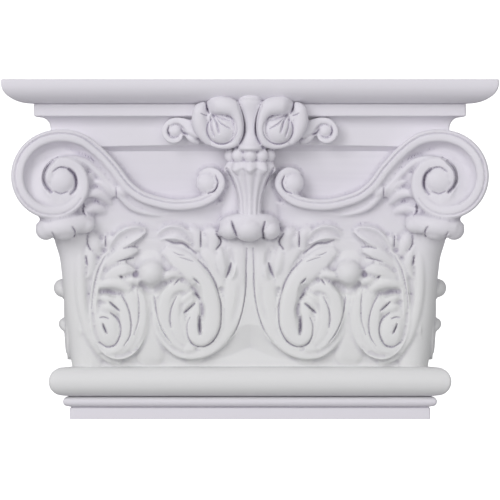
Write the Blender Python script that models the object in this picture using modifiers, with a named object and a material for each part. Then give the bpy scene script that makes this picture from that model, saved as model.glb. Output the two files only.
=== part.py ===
"""Pilaster capital, cast in one piece with a flat back, top and underside.

The frame: X runs along the wall, -Y is the front, +Z is up, in metres. The origin is the centre of the
plinth's underside. Every depth below is measured from the wall plane towards the front.
"""

import math

import bmesh
import bpy
import numpy as np
from mathutils import Vector

MM = 0.001

# Moulding heights, from the underside up
PLINTH_HEIGHT = 9.6 * MM
GROOVE_HEIGHT = 1.0 * MM
ASTRAGAL_HEIGHT = 7.6 * MM
TORUS_HEIGHT = 22.6 * MM
BELL_HEIGHT = 176.6 * MM
DIE_HEIGHT = 25.7 * MM
FILLET_HEIGHT = 10.1 * MM
CROWN_HEIGHT = 19.6 * MM
CROWN_EDGE_HEIGHT = 4.0 * MM

# The plinth's plan, and how far each moulding stands out past it on the front and on both sides
PLINTH_WIDTH = 290.6 * MM
PLINTH_DEPTH = 44.0 * MM
GROOVE_OVERHANG = 0.8 * MM
ASTRAGAL_OVERHANG = 5.4 * MM
TORUS_OVERHANG = 16.9 * MM
BELL_FOOT_OVERHANG = -4.0 * MM
BELL_LIP_OVERHANG = 7.0 * MM
DIE_OVERHANG = 15.3 * MM
FILLET_OVERHANG = 28.5 * MM
CROWN_OVERHANG = 54.7 * MM
CROWN_UNDERCUT = 24.0 * MM
BELL_FLARE_POWER = 2.2

# How far the front of the upper mouldings bows back at its middle, and the corner rounding
CROWN_SAG = 8.0 * MM
FILLET_SAG = 5.0 * MM
DIE_SAG = 3.0 * MM
BELL_CORNER_RADIUS = 9.0 * MM
EDGE_RADIUS = 1.2 * MM

# The volutes
VOLUTE_RADIUS = 41.0 * MM
VOLUTE_PITCH = 22.1 * MM
VOLUTE_LEAN_OUT = 5.0 * MM
VOLUTE_TAPE_HALF_WIDTH = 5.0 * MM
VOLUTE_TURNS = 1.30
VOLUTE_FRONT = 86.0 * MM
VOLUTE_TILT = 0.20
VOLUTE_EYE_RADIUS = 10.6 * MM
BOLSTER_WAIST = 0.80
INNER_EYE_RADIUS = 9.0 * MM

# The acanthus bell
BUD_RADIUS = 10.2 * MM
CORNER_STEM_RADIUS = 15.0 * MM

# The flower at the middle of the crown, and its stem
FLOWER_BALL_RADIUS = 12.5 * MM
FLOWER_BALL_HALF_DEPTH = 10.6 * MM
FLOWER_AXIS_DEPTH = 81.0 * MM
HOOK_BALL_RADIUS = 5.4 * MM
STEM_AXIS_DEPTH = 62.0 * MM
STEM_RADIUS = 10.0 * MM
GADROON_RING_RADIUS = 16.0 * MM
GADROON_RADIUS = 5.5 * MM
GADROON_COUNT = 10

# Facets
EMBED = 7.0 * MM
THINNEST_HALF_WIDTH = 0.5 * MM
PLAN_STEPS = 8
DOME_SEGMENTS = 12
TURNED_STEPS = 16
FACET_SHARE = 0.53

# The carving is drawn in units that follow the real size: across, up from the bell's foot, and outwards
DRAWN_FOOT = 41.6
UNIT_ACROSS = PLINTH_WIDTH / 290.6
UNIT_UP = BELL_HEIGHT / 176.6
UNIT_OUT = PLINTH_DEPTH / 44.0

# Heights of the mouldings' beds
ASTRAGAL_Z = PLINTH_HEIGHT + GROOVE_HEIGHT
TORUS_Z = ASTRAGAL_Z + ASTRAGAL_HEIGHT + GROOVE_HEIGHT
BELL_Z = TORUS_Z + TORUS_HEIGHT
DIE_Z = BELL_Z + BELL_HEIGHT
FILLET_Z = DIE_Z + DIE_HEIGHT
CROWN_Z = FILLET_Z + FILLET_HEIGHT
TOP_Z = CROWN_Z + CROWN_HEIGHT
WALL_Y = PLINTH_DEPTH / 2.0

# Sections across a carved band: place from edge to edge, and drop below its crest, in half widths
ROUND = ((-1.0, 0.80), (-0.62, 0.20), (0.0, 0.0), (0.62, 0.20), (1.0, 0.80))
SLAB = ((-1.0, 0.42), (-0.80, 0.10), (0.0, 0.0), (0.80, 0.10), (1.0, 0.42))
PAD = ((-1.0, 0.34), (-0.66, 0.06), (0.66, 0.06), (1.0, 0.34))
CUP = ((-1.0, 0.5), (-0.76, 0.0), (0.0, 0.5), (0.76, 0.0), (1.0, 0.5))

# The ground that the leafage stands on. Each row is: distance from the middle, height, height above the
# bell, half width
GROUND_BANDS = {
    "outer_ground": (7, ((112, 50, 4, 8), (111, 60, 7, 16), (110, 75, 8.6, 19), (110, 92, 8.8, 18),
                         (109, 108, 9, 17), (105, 122, 9.4, 15), (100, 136, 9.4, 13), (93, 147, 7, 8))),
    "inner_ground": (7, ((45, 50, 4, 8), (45, 62, 7.4, 19), (46, 78, 8.8, 23), (47, 95, 9, 23),
                         (50, 110, 9.4, 21), (55, 124, 9.6, 18), (60, 137, 9.4, 14), (62, 148, 7, 8))),
    "hood": (5, ((79.6, 154, 5, 10), (79.6, 146, 8, 13), (79.6, 136, 11, 14), (79.6, 126, 14, 12.4),
                 (79.6, 119, 15, 11))),
    "bud_stalk": (6, ((80.6, 116, 11, 6), (81, 104, 10, 4.6), (81.2, 92, 9.8, 5), (80.8, 80, 9.6, 6.4),
                      (80.4, 68, 8.8, 9), (80, 56, 6.6, 13), (80, 46, 3, 18))),
    "corner_ground": (7, ((134, 152, 9, 8), (133, 132, 10, 9), (132, 114, 10, 9), (130.6, 96, 9.8, 9),
                          (128, 80, 9.4, 9), (122, 64, 8.4, 8), (113, 52, 6.6, 7), (104, 46, 4, 5))),
}

# Carved bands, drawn as the ground is
ACANTHUS_BANDS = {
    "outer_rim": (CUP, 18, ((106, 138.6, 10.6, 1.6), (115.6, 131.4, 12, 2.4), (121, 121.8, 12.4, 2.8),
                            (125.4, 100.4, 12.4, 3), (126, 79, 12, 3), (120, 59.4, 11.2, 3), (106, 51, 10.6, 3),
                            (97.4, 53.4, 10.6, 2.8), (85.4, 70.6, 11, 2.4), (83, 92.4, 11.2, 2),
                            (84.4, 103, 11, 1.4))),
    "outer_eye": (SLAB, 6, ((119.6, 93, 10.4, 4), (117.6, 85, 12.4, 7), (115.2, 77, 13.4, 9.4),
                            (113.8, 68.6, 13.4, 9.6), (113.2, 61.4, 12, 7), (113.4, 57.4, 9.6, 3))),
    "outer_fold_1": (SLAB, 9, ((112, 99, 10.6, 2), (107.6, 96.4, 12.6, 4), (102.6, 90.6, 13.4, 5.2),
                               (100, 82.5, 13.6, 5.3), (99.7, 73.6, 13.6, 5.2), (101.4, 65, 13.2, 4.8),
                               (105.8, 58, 12.4, 3.8), (112.6, 55.2, 11.4, 2.8), (119.4, 58.4, 10, 1.5))),
    "outer_fold_2": (SLAB, 8, ((101.5, 106, 11, 2), (97, 101, 12.8, 4.2), (94, 92, 13.2, 4.3), (92.9, 83, 13.2, 4.2),
                               (93.2, 73, 13, 4), (95.9, 64, 12.4, 3.6), (101, 57, 11.4, 3), (108, 53.4, 10.4, 1.8))),
    "outer_fold_3": (SLAB, 7, ((94, 110, 10.8, 2), (89.8, 103.6, 12.4, 3.8), (87.2, 94, 12.8, 4),
                               (86.4, 84, 12.8, 4), (87.8, 73, 12.4, 3.8), (91.4, 63, 11.6, 3), (97, 56.4, 10.6, 2))),
    "outer_arch": (ROUND, 5, ((123, 105.6, 10.6, 2), (118, 108.8, 13.4, 3.8), (110.8, 110.2, 14.8, 4.6),
                              (103.6, 108.6, 14.8, 4.6), (97, 104.4, 13.4, 3.4))),
    "outer_leaf_1": (SLAB, 5, ((119.6, 111, 10.6, 1.8), (112.6, 116, 13.4, 3.8), (105.4, 119.6, 15, 4.8),
                               (99, 121, 15, 4.2), (93.6, 120, 12.6, 1.8))),
    "outer_leaf_2": (SLAB, 5, ((116.4, 123, 11, 1.8), (110, 129, 13.8, 4), (102.8, 133.2, 15.2, 4.8),
                               (95.6, 135.6, 14.8, 3.6), (90.4, 136.2, 12, 1.4))),
    "outer_lobe": (CUP, 6, ((114.4, 132, 10.4, 2), (108.6, 139.6, 13.8, 5.4), (101.6, 145.8, 16, 7.6),
                            (94.4, 149.4, 16, 7), (88, 151.4, 14.4, 4.6), (83.8, 152.4, 11.4, 1.6))),
    "bud_leaf_outer": (ROUND, 3, ((102, 113.4, 12, 1.8), (96, 112, 14.6, 3), (89.6, 110.4, 15, 2.4))),
    "bud_leaf_inner": (ROUND, 4, ((71.4, 113, 13, 2), (66.6, 116, 15.8, 3.2), (61, 117, 15.4, 3),
                                  (56, 115, 13, 1.6))),
    "inner_tape": (SLAB, 19, ((68.6, 137, 10.8, 4), (60.4, 131.6, 12.8, 7.8), (51.6, 124.6, 13.8, 9.8),
                              (42.8, 116, 14.4, 9.2), (36, 107, 14.6, 7.8), (31.8, 97.5, 14.6, 7.3),
                              (30.5, 87.5, 14.4, 7.5), (31.1, 77, 14.4, 7.8), (34.4, 68.8, 14.2, 7),
                              (40, 64.6, 14, 6), (45, 67.6, 14, 5.2), (46.5, 74, 14, 5), (46, 80.5, 13.8, 4.6),
                              (43.4, 86.4, 13, 3.6), (39.6, 89.6, 11.6, 1.8))),
    "inner_fold_1": (SLAB, 9, ((49.6, 104.6, 11.4, 2.2), (56.4, 106.8, 13.4, 3.8), (63, 105, 14.2, 4.6),
                               (67.4, 99.4, 14.2, 5.2), (69.4, 91, 13.8, 5.6), (69.4, 81, 13.4, 5.8),
                               (66.6, 71.5, 12.8, 5.2), (61.4, 63.6, 12, 4), (54.4, 57.4, 10.8, 2.4))),
    "inner_fold_2": (SLAB, 7, ((53.4, 100, 11.4, 2), (58, 97.2, 13, 3.6), (60.2, 91, 13.6, 4.4),
                               (60.6, 83, 13.6, 4.6), (59.4, 74.5, 13.2, 4.4), (56, 66.4, 12.4, 3.6),
                               (50.4, 60.6, 11, 2.2))),
    "inner_fold_3": (ROUND, 4, ((54.8, 89, 12, 2.6), (55, 80, 13, 3.2), (53.8, 72, 12.6, 3),
                                (50.8, 64.8, 11.6, 1.8))),
    "inner_lobe": (CUP, 5, ((74, 146.6, 9, 3), (67.4, 150, 12.8, 5.8), (59.6, 150.8, 14.4, 6.4),
                            (52.8, 148, 13.6, 5.4), (47, 142.6, 11, 2.6))),
    "inner_leaf_1": (ROUND, 5, ((51, 149.4, 9.6, 1.8), (47.4, 152.4, 12.4, 3.2), (43.4, 150.6, 12.8, 3.4),
                                (41.4, 145, 12, 3), (41.6, 138.6, 9.8, 1.8))),
    "inner_leaf_2": (ROUND, 5, ((38, 145, 9.6, 2.6), (34.4, 150.4, 12.4, 4), (29.6, 150, 12.8, 4),
                                (26.8, 144.6, 12, 3.4), (25.4, 139.4, 10.4, 2))),
    "inner_leaf_3": (SLAB, 5, ((36.6, 140.4, 10, 4), (32.4, 134, 12.2, 5.2), (28.6, 126, 12.4, 4.8),
                               (25.6, 117, 11.4, 3.4), (22.6, 107, 10.8, 2.6))),
    "middle_stalk": (SLAB, 16, ((11.8, 152, 8, 7), (11.8, 140, 10.2, 9.2), (12, 125, 11, 9.8),
                                (12.4, 110, 11.2, 10.2), (13, 96, 11.2, 10.4), (15, 84, 10.8, 9.8), (19.4, 72, 10.2, 7.8),
                                (26.4, 61.6, 9.8, 5.6), (35.4, 54.8, 9.6, 4.4), (46, 52, 9.4, 3.8),
                                (57, 53.4, 9.2, 3.4), (66.4, 60.2, 9.2, 3), (73.2, 70.5, 9.6, 2.8),
                                (77, 84, 10, 2.4), (78.6, 98, 10, 1.8))),
    "middle_eyelet": (ROUND, 4, ((24.2, 137.6, 10.8, 2), (24, 131, 13.4, 4.6), (22.8, 124, 13.6, 4.8),
                                 (20.6, 117.5, 12.6, 3.2), (18.5, 112.6, 11, 1.4))),
    "corner_ridge": (ROUND, 6, ((136.6, 147, 12, 5), (136.8, 120, 12.6, 5), (136, 100, 12.2, 5), (133, 82, 11.4, 4.6),
                                (128, 66, 10.4, 4), (120, 54, 8.6, 3))),
    "corner_leaf_1": (ROUND, 4, ((128.6, 151.4, 9.6, 2), (126.2, 145.4, 13.2, 5), (124, 138.6, 13.4, 4.8),
                                 (121.6, 132.6, 11, 2))),
    "corner_leaf_2": (ROUND, 4, ((133, 139.6, 10.8, 1.8), (129.2, 133.4, 13.2, 4), (127.6, 126, 13.4, 4),
                                 (128.8, 119, 12.2, 2.6), (131.4, 113.6, 10.6, 1.2))),
}

# The bud between the two spirals: from the middle, height
BUD = (79.6, 118.2)

# The smooth stem round each corner of the bell. Rows: height, reach from the middle, height above the bell
CORNER_STEM_ROWS = ((41.6, 143.4, 2.5), (50, 144.6, 5), (64, 146.4, 7.4), (82, 148.6, 9.4), (100, 150, 10.4),
                    (118, 151.8, 11), (132, 153.8, 12), (141, 156.6, 14), (150, 159, 17))

# The side returns carry the outer spiral again, from the corner back to the wall
SIDE_BANDS = ("outer_rim", "outer_eye", "outer_fold_1", "outer_fold_2", "outer_fold_3", "outer_arch",
              "outer_leaf_2", "outer_lobe")
SIDE_RELIEF = 0.62
SIDE_SPAN_START = 88.0
SIDE_SPAN = 41.0
SIDE_MARGIN = 5.0 * MM
SIDE_REACH = 34.0 * MM

# The scroll between the two volutes. Rows: from the middle, height, depth from the wall, half width
VOLUTE_EYE = (152.4, 192.3)
INNER_EYE = (34.6, 190.4, 58.5)
SCROLL_ROWS = ((136.9, 226.0, 76, 4.8), (121.5, 215.2, 72, 4.5), (109.6, 202.4, 69, 4.4), (97.5, 187, 66.5, 4.4),
               (82, 177.6, 65, 4.4), (62.2, 173, 64, 4.4), (49.4, 173.4, 64, 4.4), (38.5, 175.8, 64.5, 4.4),
               (29.2, 181.4, 65, 4.3), (23.8, 190, 65.5, 3.9), (25.8, 197, 65, 3.4), (31.2, 200.4, 64, 2.8),
               (37, 199.6, 62.5, 2.0), (40.5, 197.5, 60.5, 1.0))
RIDGE_ROWS = ((152.4, 208.6, 77.4, 2.4), (143, 209.8, 74.4, 2.6), (133.4, 207.8, 71, 2.5), (124, 200.4, 67.6, 2.5),
              (114.6, 190.4, 65, 2.5), (104.6, 180.4, 63.4, 2.6), (95.4, 171.4, 60.6, 2.6), (81, 165.6, 57.4, 2.2),
              (64, 163, 52.4, 1.0))

# The channel's two rails. Rows of the outer one: from the middle, height, depth, sag below it
CHANNEL_OUTER_ROWS = (
    (62, 170.5, 61, 0.5), (78, 172.6, 62, 1.0), (91.5, 177.8, 63, 1.8), (100.6, 184.6, 64.5, 2.6),
    (113.5, 199.2, 67, 4.4), (124.6, 211.2, 70, 6.4), (138.4, 221.2, 74, 8.6), (152.4, 223.6, 77, 10.2),
    (166, 221, 79.6, 11.2), (176.2, 213.6, 81.6, 11.6), (182, 203.6, 82.8, 11.0), (182.8, 192.3, 83, 9.4),
    (179, 181.6, 82.4, 6.4), (170.6, 174, 80.6, 3.0), (160, 171.6, 78.6, 0.9), (150, 173.6, 76.6, 0.0))
CHANNEL_INNER_ROWS = (
    (62, 164.2, 53, 0), (80, 166.8, 57, 0), (95, 172.8, 60, 0), (104.6, 182.2, 62, 0), (115, 192.6, 64, 0),
    (124.4, 202.4, 66.5, 0), (133.6, 209.6, 69.4, 0), (143, 211.4, 72, 0), (152.4, 210.6, 74, 0),
    (160, 207.6, 76, 0), (164.6, 202, 77.2, 0), (166.4, 195, 78, 0), (165.6, 188, 78.2, 0),
    (161.6, 182.6, 77.8, 0), (156, 180, 77, 0), (150, 181, 76, 0))
CHANNEL_SECTION = ((0.0, 0.0), (0.15, 0.66), (0.36, 1.0), (0.7, 0.8), (1.0, 0.5))
CHANNEL_STATIONS = 18

# The slope between each volute and the bell, with its small leaves
SLOPE_BANDS = (
    (PAD, 5, ((141, 204, 69, 7), (131, 197, 66.5, 10), (120.6, 188.6, 62.5, 10), (110.4, 180, 59.5, 8),
              (101, 172.6, 55, 4))),
    (PAD, 4, ((138, 186, 64, 8), (129, 179.6, 61.5, 10), (118, 173.6, 58, 9), (107, 168, 53.6, 5))),
    (PAD, 4, ((140, 171, 64, 8), (129, 166, 60, 9), (118, 162.6, 55, 6), (110, 160, 51, 3))),
    (ROUND, 4, ((111.5, 190, 63, 1.0), (107.4, 186.2, 66.6, 3.2), (103.4, 182.4, 66.4, 3.2), (99.4, 178.4, 62, 1.0))),
    (ROUND, 5, ((133.4, 172.6, 62, 1.4), (130, 177.4, 66.4, 3.2), (123.4, 178.6, 66.4, 3.6), (117, 175, 63.6, 3.0),
                (112.4, 169.4, 57, 1.2))),
)

# The flower's rolled leaves and side hooks. Rows as for the scroll
FLOWER_BANDS = {
    "flower_hood": (ROUND, 13, ((33.6, 251.4, 82, 4.4), (28.5, 252.6, 90, 6.8), (22, 252.8, 92, 7.2),
                                (15, 250.8, 92, 6.9), (10.2, 246, 90.5, 5.6), (7.6, 240, 89, 4.5),
                                (7.2, 233.6, 88, 4.1), (8.8, 227.4, 86.6, 3.9), (12.6, 222.8, 85, 3.2),
                                (18.4, 220.4, 83, 2.6), (24.6, 220.2, 81.4, 2.2), (31, 222.2, 79.4, 2.0))),
    "flower_side_leaf": (ROUND, 6, ((35.4, 253.6, 80, 2.4), (39.6, 249.6, 85, 5.2), (40.8, 243, 85, 6),
                                    (39.8, 236, 84, 5.8), (37.2, 229.5, 82, 4.8), (33.4, 224.2, 79.6, 3.2),
                                    (28, 221, 77, 1.6))),
    "flower_hook": (SLAB, 14, ((41, 233, 74, 7), (46.6, 234.6, 72.6, 6), (51.6, 238.2, 71.6, 3.8),
                               (57, 240.6, 71, 2.5), (63, 240, 71, 2.3), (67.6, 236, 71, 2.2),
                               (68.8, 230.6, 71, 2.1), (66, 225.8, 71, 2.0), (60.8, 224.2, 71, 1.9),
                               (56.4, 226.2, 70.4, 1.6), (54.6, 229.4, 69, 0.9))),
}
FLOWER_BALL = (22.6, 233.6, 77.0)
HOOK_BALL = (60.6, 232.6, 66.0)

# The turned vase, the fluted stem's body and its skirt. Rows: radius, height
VASE_ROWS = ((0.0, 262.4), (5.4, 261.8), (8.4, 260.4), (9.9, 258.6), (9.2, 254.0), (6.9, 247.6), (4.6, 239.0),
             (4.0, 231.4), (5.4, 226.6), (8.8, 222.0), (14.0, 218.6), (15.0, 212.0), (0.0, 210.0))
STEM_ROWS = ((0.0, 209.0), (16.0, 208.4), (20.6, 206.2), (21.2, 203.0), (18.8, 201.2), (16.4, 196.0), (14.0, 190.4),
             (11.8, 184.0), (10.4, 177.0), (10.0, 166.0), (10.2, 150.0), (0.0, 149.0))
GADROON_Z = 212.7

# Overturned leaf tips: from the middle, height, depth, and the half sizes of each lobe
CORNER_TIP_LOBES = ((164.0, 154.6, 70, 8.0, 9.6, 11), (150.4, 154.0, 71, 10.0, 9.8, 12),
                    (134.6, 156.8, 66.5, 9.4, 7.6, 10))
CORNER_TIP_ROLL = ((171, 156.6, 68, 3), (164, 158, 76, 6), (150, 158.6, 79, 6.6), (136, 159, 73.6, 6),
                   (126.4, 159, 64, 3))
MIDDLE_TIP_LOBES = ((0.9, 154.0, 64, 12.4, 10.8, 13.6), (17.0, 153.6, 60, 8.0, 7.8, 11.4),
                    (-17.0, 153.4, 60, 7.2, 7.8, 11.4))
MIDDLE_TIP_ROLL = ((22, 157.4, 62, 3), (13, 160, 69, 5), (0, 161.4, 73, 6.4), (-13, 160, 69, 5), (-21, 157.4, 62, 3))


def clear_scene():
    for existing in list(bpy.data.objects):
        bpy.data.objects.remove(existing, do_unlink=True)


def make_collection(name, is_cutter):
    collection = bpy.data.collections.new(name)
    bpy.context.scene.collection.children.link(collection)
    collection.hide_render = is_cutter
    return collection


def make_material(name, color, roughness):
    material = bpy.data.materials.new(name)
    material.use_nodes = True
    shader = material.node_tree.nodes["Principled BSDF"]
    shader.inputs["Base Color"].default_value = (*color, 1.0)
    shader.inputs["Roughness"].default_value = roughness
    shader.inputs["Metallic"].default_value = 0.0
    return material


def add_object(name, mesh, collection):
    made = bpy.data.objects.new(name, mesh)
    collection.objects.link(made)
    if collection.hide_render:
        made.hide_render = True
        made.display_type = "WIRE"
    return made


def mesh_from_bmesh(name, shape):
    bmesh.ops.recalc_face_normals(shape, faces=shape.faces)
    mesh = bpy.data.meshes.new(name)
    shape.to_mesh(mesh)
    shape.free()
    return mesh


def loft(name, rings, collection):
    """A closed solid through rings that all have the same number of points."""
    shape = bmesh.new()
    layers = [[shape.verts.new(point) for point in ring] for ring in rings]
    for lower, upper in zip(layers, layers[1:]):
        for index in range(len(lower)):
            following = (index + 1) % len(lower)
            shape.faces.new((lower[index], lower[following], upper[following], upper[index]))
    shape.faces.new(layers[0])
    shape.faces.new(layers[-1])
    return add_object(name, mesh_from_bmesh(name, shape), collection)


def smooth_rows(rows, count):
    """Rows of numbers along a smooth curve through the given rows, evenly spread over the knots."""
    knots = np.array(rows, dtype=float)
    steps = np.linalg.norm(np.diff(knots[:, :2], axis=0), axis=1)
    reach = np.concatenate(([0.0], np.cumsum(steps)))
    slopes = np.gradient(knots, reach, axis=0)
    samples = np.linspace(0.0, reach[-1], count)
    result = []
    for sample in samples:
        index = min(int(np.searchsorted(reach, sample, side="right")) - 1, len(knots) - 2)
        span = reach[index + 1] - reach[index]
        t = (sample - reach[index]) / span
        start = (2 * t**3 - 3 * t**2 + 1) * knots[index]
        start_slope = (t**3 - 2 * t**2 + t) * span * slopes[index]
        end = (-2 * t**3 + 3 * t**2) * knots[index + 1]
        end_slope = (t**3 - t**2) * span * slopes[index + 1]
        result.append(start + start_slope + end + end_slope)
    return np.array(result)


def drawn_x(value):
    return value * UNIT_ACROSS


def drawn_z(value):
    return BELL_Z + (value - DRAWN_FOOT) * UNIT_UP


def drawn_depth(value):
    return value * UNIT_OUT


def wall_rows(rows):
    """Drawn rows of (across, height, depth from the wall, half width), in metres."""
    return [(drawn_x(x), drawn_z(z), drawn_depth(depth), half * UNIT_ACROSS) for x, z, depth, half in rows]


def bell_rows(rows):
    """Drawn rows of (across, height, height above the bell, half width), in metres."""
    return [(drawn_x(x), drawn_z(z), bell_depth(drawn_z(z)) + height * UNIT_OUT, half * UNIT_ACROSS)
            for x, z, height, half in rows]


def bell_overhang(z):
    share = min(max((z - BELL_Z) / BELL_HEIGHT, 0.0), 1.15)
    return BELL_FOOT_OVERHANG + (BELL_LIP_OVERHANG - BELL_FOOT_OVERHANG) * share**BELL_FLARE_POWER


def bell_depth(z):
    return PLINTH_DEPTH + bell_overhang(z)


def front_point(side):
    """Maps a place on the front (across, height, depth) to the object's frame."""
    return lambda across, z, depth: Vector((side * across, WALL_Y - depth, z))


def side_point(side):
    """Maps a place on a side return (from the wall, height, depth) to the object's frame."""
    half_plinth = PLINTH_WIDTH / 2.0
    return lambda across, z, depth: Vector((side * (half_plinth + depth - PLINTH_DEPTH), WALL_Y - across, z))


def bell_back(z):
    """Where the flanks of the leafage end, inside the bell."""
    return bell_depth(z) - EMBED


def die_back(z):
    """Where the flanks of the flower end, inside the die."""
    return PLINTH_DEPTH + DIE_OVERHANG - DIE_SAG - EMBED


def ribbon(name, rows, stations, section, place, back, collection):
    """A carved band: its section is lofted along smooth rows of (across, height, depth, half width).

    Both flanks run straight back to the depth that back(z) gives, so that nothing is undercut.
    """
    spine = smooth_rows(rows, stations)
    tangents = np.gradient(spine[:, :2], axis=0)
    rings = []
    for (across, z, depth, half_width), tangent in zip(spine, tangents):
        tangent = tangent / np.linalg.norm(tangent)
        normal = (-tangent[1], tangent[0])
        half_width = max(half_width, THINNEST_HALF_WIDTH)
        ring = []
        for share, drop in section:
            offset = share * half_width
            ring.append(place(across + normal[0] * offset, z + normal[1] * offset, depth - drop * half_width))
        floor = min(back(z), depth - 2.0 * half_width)
        for share in (section[-1][0], section[0][0]):
            offset = share * half_width
            ring.append(place(across + normal[0] * offset, z + normal[1] * offset, floor))
        rings.append(ring)
    return loft(name, rings, collection)


def channel(name, place, collection):
    """The hollow floor between the volute's tape and its inner turn, which runs on below the scroll."""
    outer = smooth_rows(wall_rows(CHANNEL_OUTER_ROWS), CHANNEL_STATIONS)
    inner = smooth_rows(wall_rows(CHANNEL_INNER_ROWS), CHANNEL_STATIONS)
    rings = []
    for near, far in zip(outer, inner):
        ring = []
        for share, drop in CHANNEL_SECTION:
            x, z, depth = near[:3] + (far[:3] - near[:3]) * share
            ring.append(place(x, z, depth - near[3] * UNIT_OUT / UNIT_ACROSS * drop))
        for rail in (far, near):
            ring.append(place(rail[0], rail[1], bell_back(rail[1])))
        rings.append(ring)
    return loft(name, rings, collection)


def dome(name, center, half_sizes, collection, segments=DOME_SEGMENTS):
    """A ball or egg, from a UV sphere whose poles point up and down."""
    shape = bmesh.new()
    bmesh.ops.create_uvsphere(shape, u_segments=segments, v_segments=segments // 2 + 1, radius=1.0)
    bmesh.ops.scale(shape, vec=half_sizes, verts=shape.verts)
    bmesh.ops.translate(shape, vec=center, verts=shape.verts)
    return add_object(name, mesh_from_bmesh(name, shape), collection)


def turned(name, profile, center, collection):
    """A turned shape: its profile of (radius, height) runs down the outer side from the top."""
    shape = bmesh.new()
    points = [shape.verts.new((radius, 0.0, height)) for radius, height in profile]
    for first, second in zip(points, points[1:]):
        shape.edges.new((first, second))
    mesh = bpy.data.meshes.new(name)
    shape.to_mesh(mesh)
    shape.free()
    made = add_object(name, mesh, collection)
    made.location = center
    screw = made.modifiers.new("Turn", "SCREW")
    screw.steps = TURNED_STEPS
    screw.render_steps = TURNED_STEPS
    screw.use_merge_vertices = True
    screw.merge_threshold = 0.00001
    return made


def quarter_arc(steps):
    return [index / steps * math.pi / 2.0 for index in range(steps + 1)]


def plan_ring(overhang, z, sag, corner_radius):
    """One level of the mouldings: a flat back, two short sides and a front that bows back."""
    half_width = PLINTH_WIDTH / 2.0 + overhang
    depth = PLINTH_DEPTH + overhang
    radius = max(corner_radius, 0.1 * MM)
    points = [(-half_width, 0.0)]
    reach = half_width - radius
    for angle in quarter_arc(2):
        points.append((-reach - radius * math.cos(angle), depth - radius + radius * math.sin(angle)))
    for index in range(1, PLAN_STEPS):
        across = -reach + 2.0 * reach * index / PLAN_STEPS
        points.append((across, depth - sag * (1.0 - (across / reach) ** 2)))
    for angle in reversed(quarter_arc(2)):
        points.append((reach + radius * math.cos(angle), depth - radius + radius * math.sin(angle)))
    points.append((half_width, 0.0))
    return [Vector((across, WALL_Y - depth_at, z)) for across, depth_at in points]


def round_member(base_z, height, overhang, steps):
    """Levels of a half-round moulding, from its lower quirk to its upper one."""
    levels = []
    for index in range(steps + 1):
        angle = math.pi * index / steps
        z = base_z + height * (1.0 - math.cos(angle)) / 2.0
        levels.append((overhang - height / 2.0 * (1.0 - math.sin(angle)), z, 0.0, 2.0 * MM))
    return levels


def moulding_levels():
    """All levels from the underside to the top, as (overhang, height, sag, corner radius)."""
    levels = [(0.0, 0.0, 0.0, 0.5 * MM), (0.0, PLINTH_HEIGHT, 0.0, 0.5 * MM)]
    levels.append((GROOVE_OVERHANG - 2.0 * MM, PLINTH_HEIGHT + GROOVE_HEIGHT / 2.0, 0.0, 0.5 * MM))
    levels += round_member(ASTRAGAL_Z, ASTRAGAL_HEIGHT, ASTRAGAL_OVERHANG, 4)
    levels.append((GROOVE_OVERHANG, TORUS_Z - GROOVE_HEIGHT / 2.0, 0.0, 1.0 * MM))
    levels += round_member(TORUS_Z, TORUS_HEIGHT, TORUS_OVERHANG, 8)
    for index in range(7):
        z = BELL_Z + BELL_HEIGHT * (0.01 + 0.98 * index / 6)
        levels.append((bell_overhang(z), z, 0.0, BELL_CORNER_RADIUS))
    levels.append((DIE_OVERHANG - EDGE_RADIUS, DIE_Z, DIE_SAG, 1.5 * MM))
    levels.append((DIE_OVERHANG, DIE_Z + EDGE_RADIUS, DIE_SAG, 1.5 * MM))
    levels.append((DIE_OVERHANG, DIE_Z + DIE_HEIGHT * 0.62, DIE_SAG, 1.5 * MM))
    cavetto = FILLET_OVERHANG - DIE_OVERHANG - 4.0 * MM
    for angle in quarter_arc(2)[1:]:
        overhang = DIE_OVERHANG + cavetto * (1.0 - math.cos(angle))
        levels.append((overhang, DIE_Z + DIE_HEIGHT * (0.62 + 0.36 * math.sin(angle)), DIE_SAG, 1.5 * MM))
    levels.append((FILLET_OVERHANG, FILLET_Z, FILLET_SAG, 1.5 * MM))
    levels.append((FILLET_OVERHANG, CROWN_Z, FILLET_SAG, 1.5 * MM))
    ovolo_height = CROWN_HEIGHT - CROWN_EDGE_HEIGHT
    for angle in quarter_arc(4):
        overhang = CROWN_OVERHANG - CROWN_UNDERCUT * (1.0 - math.sin(angle))
        z = CROWN_Z + 0.5 * MM + (ovolo_height - 0.5 * MM) * (1.0 - math.cos(angle))
        levels.append((overhang, z, CROWN_SAG, 1.5 * MM))
    levels.append((CROWN_OVERHANG, TOP_Z, CROWN_SAG, 1.5 * MM))
    return levels


def make_core(name, collection):
    rings = [plan_ring(*level) for level in moulding_levels()]
    return loft(name, rings, collection)


def volute_radius(turn):
    """Outer radius of the tape, where turn counts full turns from the top, outwards and down."""
    lean = VOLUTE_LEAN_OUT * math.sin(turn * math.tau) * max(0.0, 1.0 - turn / 1.25)
    return VOLUTE_RADIUS - VOLUTE_PITCH * turn + lean


def volute_front(x):
    """The scroll's face leans, so that its outer side comes further forward."""
    return VOLUTE_FRONT - VOLUTE_TILT * (drawn_x(VOLUTE_EYE[0]) + VOLUTE_RADIUS - x)


def volute_rows():
    """The tape of the corner volute, from where the scroll joins it to where it meets the eye."""
    eye_x = drawn_x(VOLUTE_EYE[0])
    eye_z = drawn_z(VOLUTE_EYE[1])
    rows = []
    steps = 22
    for index in range(steps + 1):
        turn = VOLUTE_TURNS * index / steps
        taper = min(1.0, max(0.0, (turn - 0.5) / (VOLUTE_TURNS - 0.5)))
        half_width = VOLUTE_TAPE_HALF_WIDTH * (1.0 - 0.26 * taper)
        radius = volute_radius(turn) - half_width
        x = eye_x + radius * math.sin(turn * math.tau)
        z = eye_z + radius * math.cos(turn * math.tau)
        rows.append((x, z, volute_front(x), half_width))
    return rows


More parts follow.
